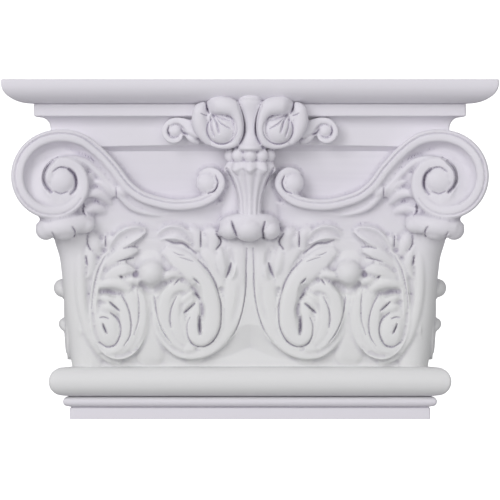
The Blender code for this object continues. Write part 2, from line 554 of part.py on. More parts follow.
def make_bolster(name, side, collection):
    """The roll behind the volute's face: the scroll's outline, drawn in at the waist, back to the wall."""
    face = volute_front(drawn_x(VOLUTE_EYE[0]))
    ends = ((0.0, 0.95), (face * 0.30, BOLSTER_WAIST), (face * 0.60, 0.84), (face * 0.83, 0.92))
    rings = [bolster_ring(scale, depth, side) for depth, scale in ends]
    return loft(name, rings, collection)


def make_hub(name, side, collection):
    """The core that carries the inner turn and the eye."""
    face = volute_front(drawn_x(VOLUTE_EYE[0]))
    ends = ((face * 0.3, 0.7), (face * 0.9, 0.5), (face * 0.96, 0.4))
    rings = [bolster_ring(scale, depth, side) for depth, scale in ends]
    return loft(name, rings, collection)


def bolster_ring(scale, depth, side):
    place = front_point(side)
    eye_x = drawn_x(VOLUTE_EYE[0])
    eye_z = drawn_z(VOLUTE_EYE[1])
    face = volute_front(eye_x)
    ring = []
    steps = 20
    for index in range(steps):
        turn = index / steps
        closing = max(0.0, (turn - 0.75) / 0.25)
        radius = scale * (volute_radius(turn) * (1.0 - closing) + VOLUTE_RADIUS * closing)
        x = eye_x + radius * math.sin(turn * math.tau)
        z = eye_z + radius * math.cos(turn * math.tau)
        lean = volute_front(x) - face if depth > 0.75 * face else 0.0
        ring.append(place(x, z, depth + lean))
    return ring


def make_volutes(side, collection):
    place = front_point(side)
    label = "left" if side < 0 else "right"
    make_bolster(f"bolster_{label}", side, collection)
    make_hub(f"hub_{label}", side, collection)
    channel(f"channel_{label}", place, collection)
    tape = volute_rows()
    ribbon(f"volute_tape_{label}", tape, 34, SLAB, place, bell_back, collection)
    scroll = [tape[1], tape[0], *wall_rows(SCROLL_ROWS)]
    ribbon(f"scroll_{label}", scroll, 26, SLAB, place, bell_back, collection)
    ribbon(f"ridge_{label}", wall_rows(RIDGE_ROWS), 12, ROUND, place, bell_back, collection)
    eye_x = drawn_x(VOLUTE_EYE[0])
    eye = place(eye_x, drawn_z(VOLUTE_EYE[1]), volute_front(eye_x) - 0.62 * VOLUTE_EYE_RADIUS)
    dome(f"volute_eye_{label}", eye, (VOLUTE_EYE_RADIUS, 0.9 * VOLUTE_EYE_RADIUS, VOLUTE_EYE_RADIUS), collection)
    inner_eye = place(drawn_x(INNER_EYE[0]), drawn_z(INNER_EYE[1]), drawn_depth(INNER_EYE[2]))
    dome(f"inner_eye_{label}", inner_eye, (INNER_EYE_RADIUS, 0.9 * INNER_EYE_RADIUS, INNER_EYE_RADIUS), collection)
    for index, (section, stations, rows) in enumerate(SLOPE_BANDS):
        ribbon(f"slope_{index}_{label}", wall_rows(rows), stations, section, place, bell_back, collection)


def make_acanthus(side, collection):
    place = front_point(side)
    label = "left" if side < 0 else "right"
    for name, (stations, rows) in GROUND_BANDS.items():
        ribbon(f"{name}_{label}", bell_rows(rows), stations, PAD, place, bell_back, collection)
    for name, (section, stations, rows) in ACANTHUS_BANDS.items():
        ribbon(f"{name}_{label}", bell_rows(rows), stations, section, place, bell_back, collection)
    bud_z = drawn_z(BUD[1])
    bud = place(drawn_x(BUD[0]), bud_z, bell_depth(bud_z) + BUD_RADIUS)
    dome(f"bud_{label}", bud, (BUD_RADIUS,) * 3, collection)
    make_corner_stem(f"corner_stem_{label}", side, collection)


def make_corner_stem(name, side, collection):
    """The smooth stem that wraps round the bell's corner, up to the leaf tip."""
    steps = 12
    rings = []
    for height, reach, relief in CORNER_STEM_ROWS:
        z = drawn_z(height)
        middle_x = drawn_x(reach) - CORNER_STEM_RADIUS
        middle_depth = bell_depth(z) + relief * UNIT_OUT - CORNER_STEM_RADIUS
        ring = []
        for index in range(steps):
            angle = math.tau * index / steps
            x = middle_x + CORNER_STEM_RADIUS * math.cos(angle)
            ring.append(front_point(side)(x, z, middle_depth + CORNER_STEM_RADIUS * math.sin(angle)))
        rings.append(ring)
    return loft(name, rings, collection)


def make_side_return(side, collection):
    place = side_point(side)
    label = "left" if side < 0 else "right"
    share = (PLINTH_DEPTH - SIDE_MARGIN) / SIDE_SPAN
    for name in SIDE_BANDS:
        section, stations, rows = ACANTHUS_BANDS[name]
        placed = []
        for x, z, height, half in rows:
            half_width = half * UNIT_ACROSS
            across = min(max((x - SIDE_SPAN_START) * share, SIDE_MARGIN / 3.0 + half_width), SIDE_REACH)
            depth = bell_depth(drawn_z(z)) + SIDE_RELIEF * height * UNIT_OUT
            placed.append((across, drawn_z(z), depth, half_width))
        ribbon(f"side_{name}_{label}", placed, stations, section, place, bell_back, collection)


def make_lobes(name, lobes, place, collection):
    for index, (x, z, depth, wide, high, deep) in enumerate(lobes):
        center = place(drawn_x(x), drawn_z(z), drawn_depth(depth))
        dome(f"{name}_{index}", center, (wide * UNIT_ACROSS, deep * UNIT_OUT, high * UNIT_UP), collection, 10)


def make_leaf_tips(side, collection):
    place = front_point(side)
    label = "left" if side < 0 else "right"
    make_lobes(f"corner_tip_{label}", CORNER_TIP_LOBES, place, collection)
    ribbon(f"corner_roll_{label}", wall_rows(CORNER_TIP_ROLL), 6, ROUND, place, bell_back, collection)


def make_middle_tip(collection):
    place = front_point(-1)
    make_lobes("middle_tip", MIDDLE_TIP_LOBES, place, collection)
    ribbon("middle_roll", wall_rows(MIDDLE_TIP_ROLL), 7, ROUND, place, bell_back, collection)


def make_flower(side, collection):
    place = front_point(side)
    label = "left" if side < 0 else "right"
    for name, (section, stations, rows) in FLOWER_BANDS.items():
        ribbon(f"{name}_{label}", wall_rows(rows), stations, section, place, die_back, collection)
    ball = place(drawn_x(FLOWER_BALL[0]), drawn_z(FLOWER_BALL[1]), drawn_depth(FLOWER_BALL[2]))
    dome(f"flower_ball_{label}", ball, (FLOWER_BALL_RADIUS, FLOWER_BALL_HALF_DEPTH, FLOWER_BALL_RADIUS), collection)
    hook = place(drawn_x(HOOK_BALL[0]), drawn_z(HOOK_BALL[1]), drawn_depth(HOOK_BALL[2]))
    dome(f"hook_ball_{label}", hook, (HOOK_BALL_RADIUS,) * 3, collection, 8)


def make_vase_and_stem(collection):
    vase_axis = front_point(1)(0.0, 0.0, FLOWER_AXIS_DEPTH)
    turned("vase", [(radius * UNIT_ACROSS, drawn_z(z)) for radius, z in VASE_ROWS], vase_axis, collection)
    stem_axis = front_point(1)(0.0, 0.0, STEM_AXIS_DEPTH)
    scale = STEM_RADIUS / STEM_ROWS[-3][0]
    turned("stem", [(radius * scale, drawn_z(z)) for radius, z in STEM_ROWS], stem_axis, collection)
    for index in range(GADROON_COUNT):
        angle = math.tau * index / GADROON_COUNT
        if math.cos(angle) < -0.3:
            continue
        center = stem_axis + Vector((math.sin(angle) * GADROON_RING_RADIUS,
                                     -math.cos(angle) * GADROON_RING_RADIUS, drawn_z(GADROON_Z)))
        dome(f"gadroon_{index}", center, (GADROON_RADIUS,) * 3, collection, 8)


def join_carving(capital, carving):
    union = capital.modifiers.new("Carving", "BOOLEAN")
    union.operation = "UNION"
    union.operand_type = "COLLECTION"
    union.collection = carving
    union.solver = "EXACT"
    union.use_self = True
    thin = capital.modifiers.new("Fewer facets", "DECIMATE")
    thin.decimate_type = "COLLAPSE"
    thin.ratio = FACET_SHARE


def build():
    clear_scene()
    parts = make_collection("Pilaster capital", False)
    carving = make_collection("Carving", True)
    capital = make_core("capital", parts)
    for side in (-1, 1):
        make_volutes(side, carving)
        make_acanthus(side, carving)
        make_side_return(side, carving)
        make_leaf_tips(side, carving)
        make_flower(side, carving)
    make_middle_tip(carving)
    make_vase_and_stem(carving)
    join_carving(capital, carving)
    capital.data.materials.append(make_material("White primer", (0.80, 0.79, 0.82), 0.62))


build()
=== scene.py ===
"""Pilaster capital: the finely carved and primed casting, fitted over its CAD solid.

The frame is the CAD's: X along the wall, -Y the front, +Z up, in metres. The carving is drawn in millimetres:
across from the middle, height above the underside, and depth from the wall plane or above the bell.
"""

import logging
import math
from collections.abc import Callable, Sequence
from dataclasses import dataclass, field
from enum import Enum

import bmesh
import bpy
import numpy as np
from mathutils import Matrix, Vector


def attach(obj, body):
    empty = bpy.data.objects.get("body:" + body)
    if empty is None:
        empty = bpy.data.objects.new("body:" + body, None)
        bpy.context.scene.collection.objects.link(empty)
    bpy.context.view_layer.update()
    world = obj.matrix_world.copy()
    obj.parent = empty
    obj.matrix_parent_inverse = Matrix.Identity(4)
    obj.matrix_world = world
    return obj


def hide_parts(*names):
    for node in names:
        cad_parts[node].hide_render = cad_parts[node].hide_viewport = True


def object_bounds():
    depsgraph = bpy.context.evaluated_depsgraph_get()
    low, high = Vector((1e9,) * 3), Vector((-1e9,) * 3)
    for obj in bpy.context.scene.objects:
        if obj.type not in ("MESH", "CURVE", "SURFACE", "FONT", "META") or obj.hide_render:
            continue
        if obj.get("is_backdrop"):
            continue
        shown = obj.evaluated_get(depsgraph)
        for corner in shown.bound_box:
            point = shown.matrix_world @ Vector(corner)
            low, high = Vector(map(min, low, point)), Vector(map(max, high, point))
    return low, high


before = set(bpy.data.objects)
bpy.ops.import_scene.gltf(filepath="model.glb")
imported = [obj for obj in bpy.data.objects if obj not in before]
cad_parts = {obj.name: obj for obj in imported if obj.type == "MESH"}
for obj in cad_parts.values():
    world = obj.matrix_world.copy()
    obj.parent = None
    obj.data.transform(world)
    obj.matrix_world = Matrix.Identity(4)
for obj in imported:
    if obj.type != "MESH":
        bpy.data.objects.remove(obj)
CAD_LOW, CAD_HIGH = (Vector(corner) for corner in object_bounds())

LOG = logging.getLogger("pilaster_capital")
MM = 0.001
NODE = "capital"

Place = Callable[[float, float, float], tuple[float, float, float]]
Row = tuple[float, float, float, float]


class Side(Enum):
    """Which half of the capital a mirrored form belongs to."""

    LEFT = -1
    RIGHT = 1


class Section(Enum):
    """The shapes across a carved band, from one edge to the other."""

    ROUND = "round"
    TAPE = "tape"
    CUP = "cup"
    RIDGE = "ridge"
    LEAF = "leaf"
    PAD = "pad"
    SLAB = "slab"

    def drop(self, share: np.ndarray) -> np.ndarray:
        """How far the surface lies below the crest.

        Args:
            share: Places across the band, from -1 to 1.

        Returns:
            The drop at each place, in half widths.
        """
        edge = np.abs(share)
        if self is Section.ROUND:
            return 1.0 - np.sqrt(1.0 - 0.97 * edge**2)
        if self is Section.TAPE:
            return 0.42 * edge**7
        if self is Section.PAD:
            return 0.05 * edge**2 + 0.30 * edge**5
        if self is Section.SLAB:
            return 0.07 * edge**2 + 0.38 * edge**6
        if self is Section.CUP:
            hollow = 0.52 * np.clip(1.0 - (edge / 0.76) ** 2, 0.0, None)
            return hollow + 0.6 * np.clip((edge - 0.76) / 0.24, 0.0, None) ** 2
        if self is Section.LEAF:
            return 0.26 * np.sin(np.clip(edge / 0.82, 0.0, 1.0) * math.pi) + 0.75 * edge**5
        return 0.95 * edge**1.25


@dataclass(frozen=True)
class Bell:
    """The capital's ground: the flared bell that the carving stands on."""

    wall_y: float = CAD_HIGH.y
    foot_z: float = 41.8 * MM
    height: float = 176.6 * MM
    plinth_half_width: float = 145.3 * MM
    plinth_depth: float = 44.0 * MM
    foot_overhang: float = -4.0 * MM
    lip_overhang: float = 7.0 * MM
    flare: float = 2.2

    def overhang(self, z: float) -> float:
        """How far the bell stands out past the plinth at a height.

        Args:
            z: Height above the underside, in metres.

        Returns:
            The overhang in metres.
        """
        share = min(max((z - self.foot_z) / self.height, 0.0), 1.15)
        return self.foot_overhang + (self.lip_overhang - self.foot_overhang) * share**self.flare

    def depth(self, z: float) -> float:
        """The bell's depth from the wall plane at a height."""
        return self.plinth_depth + self.overhang(z)

    def front(self, side: Side) -> Place:
        """The map from (across, height, depth) on the front to the frame."""
        return lambda across, z, depth: (side.value * across, self.wall_y - depth, z)

    def returned(self, side: Side) -> Place:
        """The map from (distance from the wall, height, depth) on a side return to the frame."""
        reach = self.plinth_half_width - self.plinth_depth
        return lambda across, z, depth: (side.value * (reach + depth), self.wall_y - across, z)


BELL = Bell()


def smooth_rows(rows: Sequence[Sequence[float]], spacing: float) -> np.ndarray:
    """Samples a smooth curve through rows of numbers, whose first two are a place in the plane.

    Args:
        rows: The rows that the curve passes through.
        spacing: Distance between samples, in the rows' own unit.

    Returns:
        The sampled rows.
    """
    knots = np.array(rows, dtype=float)
    reach = np.concatenate(([0.0], np.cumsum(np.linalg.norm(np.diff(knots[:, :2], axis=0), axis=1))))
    slopes = np.gradient(knots, reach, axis=0)
    count = max(4, int(reach[-1] / spacing) + 1)
    samples = np.linspace(0.0, reach[-1], count)
    index = np.clip(np.searchsorted(reach, samples, side="right") - 1, 0, len(knots) - 2)
    span = (reach[index + 1] - reach[index])[:, None]
    t = (samples - reach[index])[:, None] / span
    start = (2 * t**3 - 3 * t**2 + 1) * knots[index] + (t**3 - 2 * t**2 + t) * span * slopes[index]
    end = (-2 * t**3 + 3 * t**2) * knots[index + 1] + (t**3 - t**2) * span * slopes[index + 1]
    return start + end


@dataclass
class Casting:
    """Closed shapes gathered into one mesh, to be fused into a single cast surface."""

    name: str
    points: list[tuple[float, float, float]] = field(default_factory=list)
    faces: list[tuple[int, ...]] = field(default_factory=list)

    def loft(self, rings: Sequence[Sequence[Sequence[float]]]) -> None:
        """Adds a closed solid through rings that all have the same number of points."""
        base = len(self.points)
        size = len(rings[0])
        for ring in rings:
            self.points.extend(tuple(point) for point in ring)
        for row in range(len(rings) - 1):
            for index in range(size):
                following = (index + 1) % size
                low = base + row * size
                self.faces.append((low + index, low + following, low + size + following, low + size + index))
        self.faces.append(tuple(base + index for index in range(size)))
        self.faces.append(tuple(base + (len(rings) - 1) * size + index for index in range(size)))

    def add_mesh(self, mesh: bpy.types.Mesh) -> None:
        """Adds a closed mesh as it is."""
        base = len(self.points)
        self.points.extend(tuple(vertex.co) for vertex in mesh.vertices)
        self.faces.extend(tuple(base + index for index in polygon.vertices) for polygon in mesh.polygons)

    def band(self, rows: Sequence[Row], section: Section, place: Place, back: float | None = None,
             spacing: float = 1.4 * MM, across_steps: int = 12) -> None:
        """Adds a carved band, lofted along smooth rows, whose flanks run straight back.

        Args:
            rows: Rows of (across, height, depth, half width) in metres.
            section: The shape across the band.
            place: The map into the frame.
            back: Depth that the flanks reach, or None for just behind the bell's surface.
            spacing: Distance between the sections.
            across_steps: Steps across the band.
        """
        spine = smooth_rows(rows, spacing)
        tangents = np.gradient(spine[:, :2], axis=0)
        tangents /= np.linalg.norm(tangents, axis=1)[:, None]
        shares = np.linspace(-1.0, 1.0, across_steps + 1)
        drops = section.drop(shares)
        rings = []
        for (across, z, depth, half_width), (run, rise) in zip(spine, tangents):
            half_width = max(half_width, 0.3 * MM)
            ring = [place(across - rise * share * half_width, z + run * share * half_width,
                          depth - drop * half_width) for share, drop in zip(shares, drops)]
            floor = min(BELL.depth(z) - 6.0 * MM if back is None else back, depth - 1.5 * half_width)
            for share in (1.0, -1.0):
                ring.append(place(across - rise * share * half_width, z + run * share * half_width, floor))
            rings.append(ring)
        self.loft(rings)

    def valley(self, outer: Sequence[Row], inner: Sequence[Row], place: Place) -> None:
        """Adds a hollow floor between two rails, steep at the outer rail and flatter at the inner one.

        Args:
            outer: Rows of (across, height, depth, sag) along the outer rail.
            inner: Rows of the same kind along the inner rail, whose sag isn't used.
            place: The map into the frame.
        """
        shares = np.linspace(0.0, 1.0, 15)
        steep = np.where(shares < 0.36, 1.0 - (1.0 - shares / 0.36) ** 2,
                         1.0 - 0.5 * ((shares - 0.36) / 0.64) ** 1.5)
        rings = []
        for near, far in zip(*self.paired(outer, inner, 160)):
            ring = []
            for share, drop in zip(shares, steep):
                x, z, depth = near[:3] + (far[:3] - near[:3]) * share
                ring.append(place(x, z, depth - near[3] * drop))
            for rail in (far, near):
                ring.append(place(rail[0], rail[1], BELL.depth(rail[1]) - 6.0 * MM))
            rings.append(ring)
        self.loft(rings)

    def web(self, upper: Sequence[Row], lower: Sequence[Row], place: Place) -> None:
        """Adds a soft cove that falls from one rail to another.

        Args:
            upper: Rows of (across, height, depth, bow) along the proud rail, whose bow is how strongly it curves.
            lower: Rows of the same kind along the low rail, whose bow isn't used.
            place: The map into the frame.
        """
        shares = np.linspace(0.0, 1.0, 13)
        rings = []
        for near, far in zip(*self.paired(upper, lower, 90)):
            ring = []
            for share in shares:
                x, z = near[:2] + (far[:2] - near[:2]) * share
                ring.append(place(x, z, far[2] + (near[2] - far[2]) * (1.0 - share) ** near[3]))
            for rail in (far, near):
                ring.append(place(rail[0], rail[1], BELL.depth(rail[1]) - 6.0 * MM))
            rings.append(ring)
        self.loft(rings)

    def paired(self, first: Sequence[Row], second: Sequence[Row], count: int) -> list[np.ndarray]:
        """Samples two rails at the same shares of their length.

        Args:
            first: Rows along one rail.
            second: Rows along the other rail.
            count: How many samples to take.

        Returns:
            The samples of each rail.
        """
        rails = []
        for rows in (first, second):
            fine = smooth_rows(rows, 0.4 * MM)
            picks = np.linspace(0.0, len(fine) - 1.0, count)
            rails.append(np.stack([np.interp(picks, np.arange(len(fine)), fine[:, k]) for k in range(4)], axis=1))
        return rails

    def dome(self, center: Sequence[float], half_sizes: Sequence[float], steps: int = 28) -> None:
        """Adds a ball or egg.

        Args:
            center: Its middle in the frame.
            half_sizes: Half sizes along X, Y and Z.
            steps: Steps around it.
        """
        ball = bmesh.new()
        bmesh.ops.create_uvsphere(ball, u_segments=steps, v_segments=steps // 2, radius=1.0)
        bmesh.ops.scale(ball, vec=half_sizes, verts=ball.verts)
        bmesh.ops.translate(ball, vec=center, verts=ball.verts)
        base = len(self.points)
        ball.verts.index_update()
        self.points.extend(tuple(vertex.co) for vertex in ball.verts)
        self.faces.extend(tuple(base + vertex.index for vertex in polygon.verts) for polygon in ball.faces)
        ball.free()

    def turned(self, profile: Sequence[tuple[float, float]], axis: Sequence[float], lobes: int = 0,
               lobe_depth: float = 0.0, steps: int = 96, rise: float = 1.2 * MM, droop: float = 0.0) -> None:
        """Adds a turned shape, whose side may be fluted or scalloped.

        Args:
            profile: (radius, height) rows from one end to the other.
            axis: A point on the vertical axis.
            lobes: How many lobes go round it.
            lobe_depth: How deep the grooves between the lobes are, as a share of the radius.
            steps: Steps around it.
            rise: Distance between levels.
            droop: How far the lobes hang down at the profile's lower end.
        """
        rings = []
        top, bottom = profile[0][1], profile[-1][1]
        for radius, z in smooth_rows(profile, rise):
            hang = droop * (top - z) / (top - bottom)
            ring = []
            for index in range(steps):
                angle = math.tau * index / steps
                wave = abs(math.cos(0.5 * lobes * (angle + math.pi / 2.0))) ** 1.6 if lobes else 0.0
                local = max(radius, 0.05 * MM) * (1.0 - lobe_depth * (1.0 - wave if lobes else 0.0))
                ring.append((axis[0] + local * math.cos(angle), axis[1] + local * math.sin(angle), z - hang * wave))
            rings.append(ring)
        self.loft(rings)

    def fuse(self, voxel: float, smoothing: int, filling: float) -> bpy.types.Object:
        """Fuses everything into one closed surface and fills its narrow gaps, as a poured mould would.

        Args:
            voxel: Size of the cells that the surface is rebuilt on.
            smoothing: How many times it is smoothed.
            filling: Half the width of the gaps that are filled.

        Returns:
            The fused object, with its modifiers applied.
        """
        mesh = bpy.data.meshes.new(self.name)
        mesh.from_pydata(self.points, [], self.faces)
        rough = bpy.data.objects.new(self.name, mesh)
        bpy.context.scene.collection.objects.link(rough)
        for label, swelling in (("Fuse", filling), ("Fill", -filling)):
            remesh = rough.modifiers.new(label, "REMESH")
            remesh.mode = "VOXEL"
            remesh.voxel_size = voxel
            even = rough.modifiers.new(label + " even", "SMOOTH")
            even.factor = 0.5
            even.iterations = 3
            swell = rough.modifiers.new(label + " swell", "DISPLACE")
            swell.mid_level = 0.0
            swell.strength = swelling
        smooth = rough.modifiers.new("Soften", "SMOOTH")
        smooth.factor = 0.5
        smooth.iterations = smoothing
        return applied(rough)


def applied(made: bpy.types.Object) -> bpy.types.Object:
    """Replaces an object's mesh by the result of its modifiers.

    Args:
        made: The object.

    Returns:
        The same object, with no modifier left.
    """
    graph = bpy.context.evaluated_depsgraph_get()
    mesh = bpy.data.meshes.new_from_object(made.evaluated_get(graph))
    made.modifiers.clear()
    made.data = mesh
    return made


def thinned(made: bpy.types.Object, triangles: int) -> bpy.types.Object:
    """Thins a dense surface to a number of triangles, keeping its form.

    Args:
        made: The object.
        triangles: How many triangles may stay.

    Returns:
        The same object.
    """
    made.data.calc_loop_triangles()
    present = len(made.data.loop_triangles)
    if present > triangles:
        thin = made.modifiers.new("Thin", "DECIMATE")
        thin.ratio = triangles / present
        thin.use_collapse_triangulate = True
        applied(made)
    return made


@dataclass(frozen=True)
class Chisel:
    """A groove cut into a fused surface along a path on the front."""

    path: tuple[tuple[float, float], ...]
    half_width: float
    depth: float
    both_halves: bool = True

    def cut(self, points: np.ndarray) -> None:
        """Pushes the surface back along the path.

        Args:
            points: The surface's points, changed in place.
        """
        line = smooth_rows([(x * MM, z * MM) for x, z in self.path], 0.35 * MM)
        fade = np.sin(np.linspace(0.06, 0.94, len(line)) * math.pi) ** 0.6
        width = self.half_width * MM
        for side in (-1.0, 1.0) if self.both_halves else (1.0,):
            places = line * np.array([side, 1.0])
            low = places.min(axis=0) - width
            high = places.max(axis=0) + width
            near = np.flatnonzero((points[:, 0] > low[0]) & (points[:, 0] < high[0])
                                  & (points[:, 2] > low[1]) & (points[:, 2] < high[1])
                                  & (points[:, 1] < BELL.wall_y - BELL.plinth_depth * 0.8))
            gaps = np.linalg.norm(points[near][:, None, [0, 2]] - places[None, :, :], axis=2)
            nearest = gaps.argmin(axis=1)
            share = np.clip(1.0 - (gaps[np.arange(len(near)), nearest] / width) ** 2, 0.0, None)
            points[near, 1] += self.depth * MM * share**1.5 * fade[nearest]


def carve(made: bpy.types.Object, grooves: Sequence[Chisel]) -> None:
    """Cuts grooves into a fused object and keeps its back flat on the wall plane.

    Args:
        made: The object.
        grooves: The grooves to cut.
    """
    flat = np.empty(len(made.data.vertices) * 3)
    made.data.vertices.foreach_get("co", flat)
    points = flat.reshape(-1, 3)
    for groove in grooves:
        groove.cut(points)
    np.clip(points[:, 1], CAD_LOW.y + 0.1 * MM, BELL.wall_y - 0.3 * MM, out=points[:, 1])
    made.data.vertices.foreach_set("co", points.reshape(-1))
    made.data.update()


def drawn(rows: Sequence[Row], on_bell: bool) -> list[Row]:
    """Rows drawn in millimetres, in metres, with depths measured from the wall.

    Args:
        rows: Rows of (across, height, depth, half width).
        on_bell: Whether the depths are heights above the bell's surface.

    Returns:
        The rows in metres.
    """
    return [(x * MM, z * MM, depth * MM + (BELL.depth(z * MM) if on_bell else 0.0), half * MM)
            for x, z, depth, half in rows]


@dataclass(frozen=True)
class Mouldings:
    """The crisp body: plinth, astragal, torus, bell, die, fillet and crown."""

    plinth_height: float = 9.6 * MM
    groove_height: float = 1.0 * MM
    astragal_height: float = 7.6 * MM
    torus_height: float = 22.6 * MM
    die_height: float = 25.7 * MM
    fillet_height: float = 10.1 * MM
    crown_height: float = 19.6 * MM
    crown_edge_height: float = 4.0 * MM
    groove_overhang: float = 0.8 * MM
    astragal_overhang: float = 5.4 * MM
    torus_overhang: float = 16.9 * MM
    die_overhang: float = 15.3 * MM
    fillet_overhang: float = 28.5 * MM
    crown_undercut: float = 24.0 * MM
    crown_sag: float = 8.0 * MM
    fillet_sag: float = 5.0 * MM
    die_sag: float = 3.0 * MM
    die_lift: float = 2.6 * MM
    edge: float = 1.1 * MM

    def plan(self, overhang: float, z: float, sag: float, corner: float,
             lift: float = 0.0) -> list[tuple[float, float, float]]:
        """One level: a flat back, two short sides and a front that bows back.

        Args:
            overhang: How far the level stands out past the plinth.
            z: Its height.
            sag: How far the front bows back at its middle.
            corner: Radius of the two front corners.
            lift: How far the level rises at its middle.

        Returns:
            The level's points.
        """
        half_width = BELL.plinth_half_width + overhang
        depth = BELL.plinth_depth + overhang
        reach = half_width - corner
        arcs = [index / 5 * math.pi / 2.0 for index in range(6)]
        outline = [(-half_width, 0.0)]
        outline += [(-reach - corner * math.cos(a), depth - corner + corner * math.sin(a)) for a in arcs]
        for index in range(1, 40):
            across = -reach + 2.0 * reach * index / 40
            outline.append((across, depth - sag * (1.0 - (across / reach) ** 2)))
        outline += [(reach + corner * math.cos(a), depth - corner + corner * math.sin(a)) for a in reversed(arcs)]
        outline.append((half_width, 0.0))
        limit = BELL.wall_y - CAD_LOW.y
        return [(across, BELL.wall_y - min(depth_at, limit), z + lift * max(0.0, 1.0 - (across / reach) ** 2))
                for across, depth_at in outline]

    def round_member(self, base: float, height: float, overhang: float) -> list[tuple[float, ...]]:
        """Levels of a half-round moulding.

        Args:
            base: Height of its lower quirk.
            height: Its own height.
            overhang: How far its middle stands out.

        Returns:
            Levels of (overhang, height, sag, corner radius).
        """
        levels = []
        for index in range(15):
            angle = math.pi * index / 14
            levels.append((overhang - height / 2.0 * (1.0 - math.sin(angle)),
                           base + height * (1.0 - math.cos(angle)) / 2.0, 0.0, 2.2 * MM))
        return levels

    def square_member(self, base: float, top: float, overhang: float, sag: float) -> list[tuple[float, ...]]:
        """Levels of a flat band with softened edges.

        Args:
            base: Its lower edge.
            top: Its upper edge.
            overhang: How far it stands out.
            sag: How far its front bows back.

        Returns:
            Levels of (overhang, height, sag, corner radius).
        """
        levels = []
        for angle in (0.0, 0.4, 0.8, 1.2, math.pi / 2.0):
            inset = self.edge * (1.0 - math.sin(angle))
            levels.append((overhang - inset, base + self.edge * (1.0 - math.cos(angle)), sag, 1.6 * MM))
        for angle in (math.pi / 2.0, 1.2, 0.8, 0.4, 0.0):
            inset = self.edge * (1.0 - math.sin(angle))
            levels.append((overhang - inset, top - self.edge * (1.0 - math.cos(angle)), sag, 1.6 * MM))
        return levels

    def levels(self) -> list[tuple[float, ...]]:
        """All levels, from the underside to the top."""
        astragal_z = self.plinth_height + self.groove_height
        torus_z = astragal_z + self.astragal_height + self.groove_height
        die_z = BELL.foot_z + BELL.height
        fillet_z = die_z + self.die_height
        crown_z = fillet_z + self.fillet_height
        crown_overhang = CAD_HIGH.x - BELL.plinth_half_width
        levels = [(0.0, 0.0, 0.0, 1.0 * MM), *self.square_member(0.0, self.plinth_height, 0.0, 0.0)[5:]]
        levels.append((-1.2 * MM, self.plinth_height + self.groove_height / 2.0, 0.0, 1.0 * MM))
        levels += self.round_member(astragal_z, self.astragal_height, self.astragal_overhang)
        levels.append((self.groove_overhang, torus_z - self.groove_height / 2.0, 0.0, 1.0 * MM))
        levels += self.round_member(torus_z, self.torus_height, self.torus_overhang)
        for index in range(24):
            z = BELL.foot_z + BELL.height * (0.005 + 0.98 * index / 23)
            levels.append((BELL.overhang(z), z, 0.0, 9.0 * MM))
        die = self.square_member(die_z, die_z + self.die_height, self.die_overhang, self.die_sag)[:5]
        levels += [(*level, self.die_lift) for level in die]
        cove = self.fillet_overhang - self.die_overhang - 4.0 * MM
        for index in range(9):
            angle = index / 8 * math.pi / 2.0
            levels.append((self.die_overhang + cove * (1.0 - math.cos(angle)),
                           die_z + self.die_height * (0.62 + 0.36 * math.sin(angle)), self.die_sag, 1.6 * MM))
        levels += self.square_member(fillet_z, crown_z, self.fillet_overhang, self.fillet_sag)
        rise = self.crown_height - self.crown_edge_height
        for index in range(13):
            angle = index / 12 * math.pi / 2.0
            levels.append((crown_overhang - self.crown_undercut * (1.0 - math.sin(angle)),
                           crown_z + 0.5 * MM + (rise - 0.5 * MM) * (1.0 - math.cos(angle)),
                           self.crown_sag, 1.5 * MM))
        levels += self.square_member(crown_z + rise, CAD_HIGH.z, crown_overhang, self.crown_sag)[5:]
        return levels

    def build(self) -> bpy.types.Object:
        """Builds the body as one crisp loft with a flat back, top and underside."""
        body = Casting("capital_body")
        body.loft([self.plan(*level) for level in self.levels()])
        mesh = bpy.data.meshes.new(body.name)
        mesh.from_pydata(body.points, [], body.faces)
        shape = bmesh.new()
        shape.from_mesh(mesh)
        bmesh.ops.recalc_face_normals(shape, faces=shape.faces)
        shape.to_mesh(mesh)
        shape.free()
        mesh.shade_smooth()
        mesh.set_sharp_from_angle(angle=math.radians(38.0))
        made = bpy.data.objects.new(body.name, mesh)
        bpy.context.scene.collection.objects.link(made)
        return made

    def skin(self, casting: Casting) -> None:
        """Adds the bell's own skin to the carving, so that the carving grows out of it."""
        rings = []
        proud = 0.25 * MM
        for index in range(40):
            z = BELL.foot_z - 1.5 * MM + (BELL.height + 2.5 * MM) * index / 39
            ring = self.plan(BELL.overhang(z) + proud, z, 0.0, 9.0 * MM)
            ring[0] = (ring[0][0], BELL.wall_y - 3.0 * MM, z)
            ring[-1] = (ring[-1][0], BELL.wall_y - 3.0 * MM, z)
            rings.append(ring)
        casting.loft(rings)


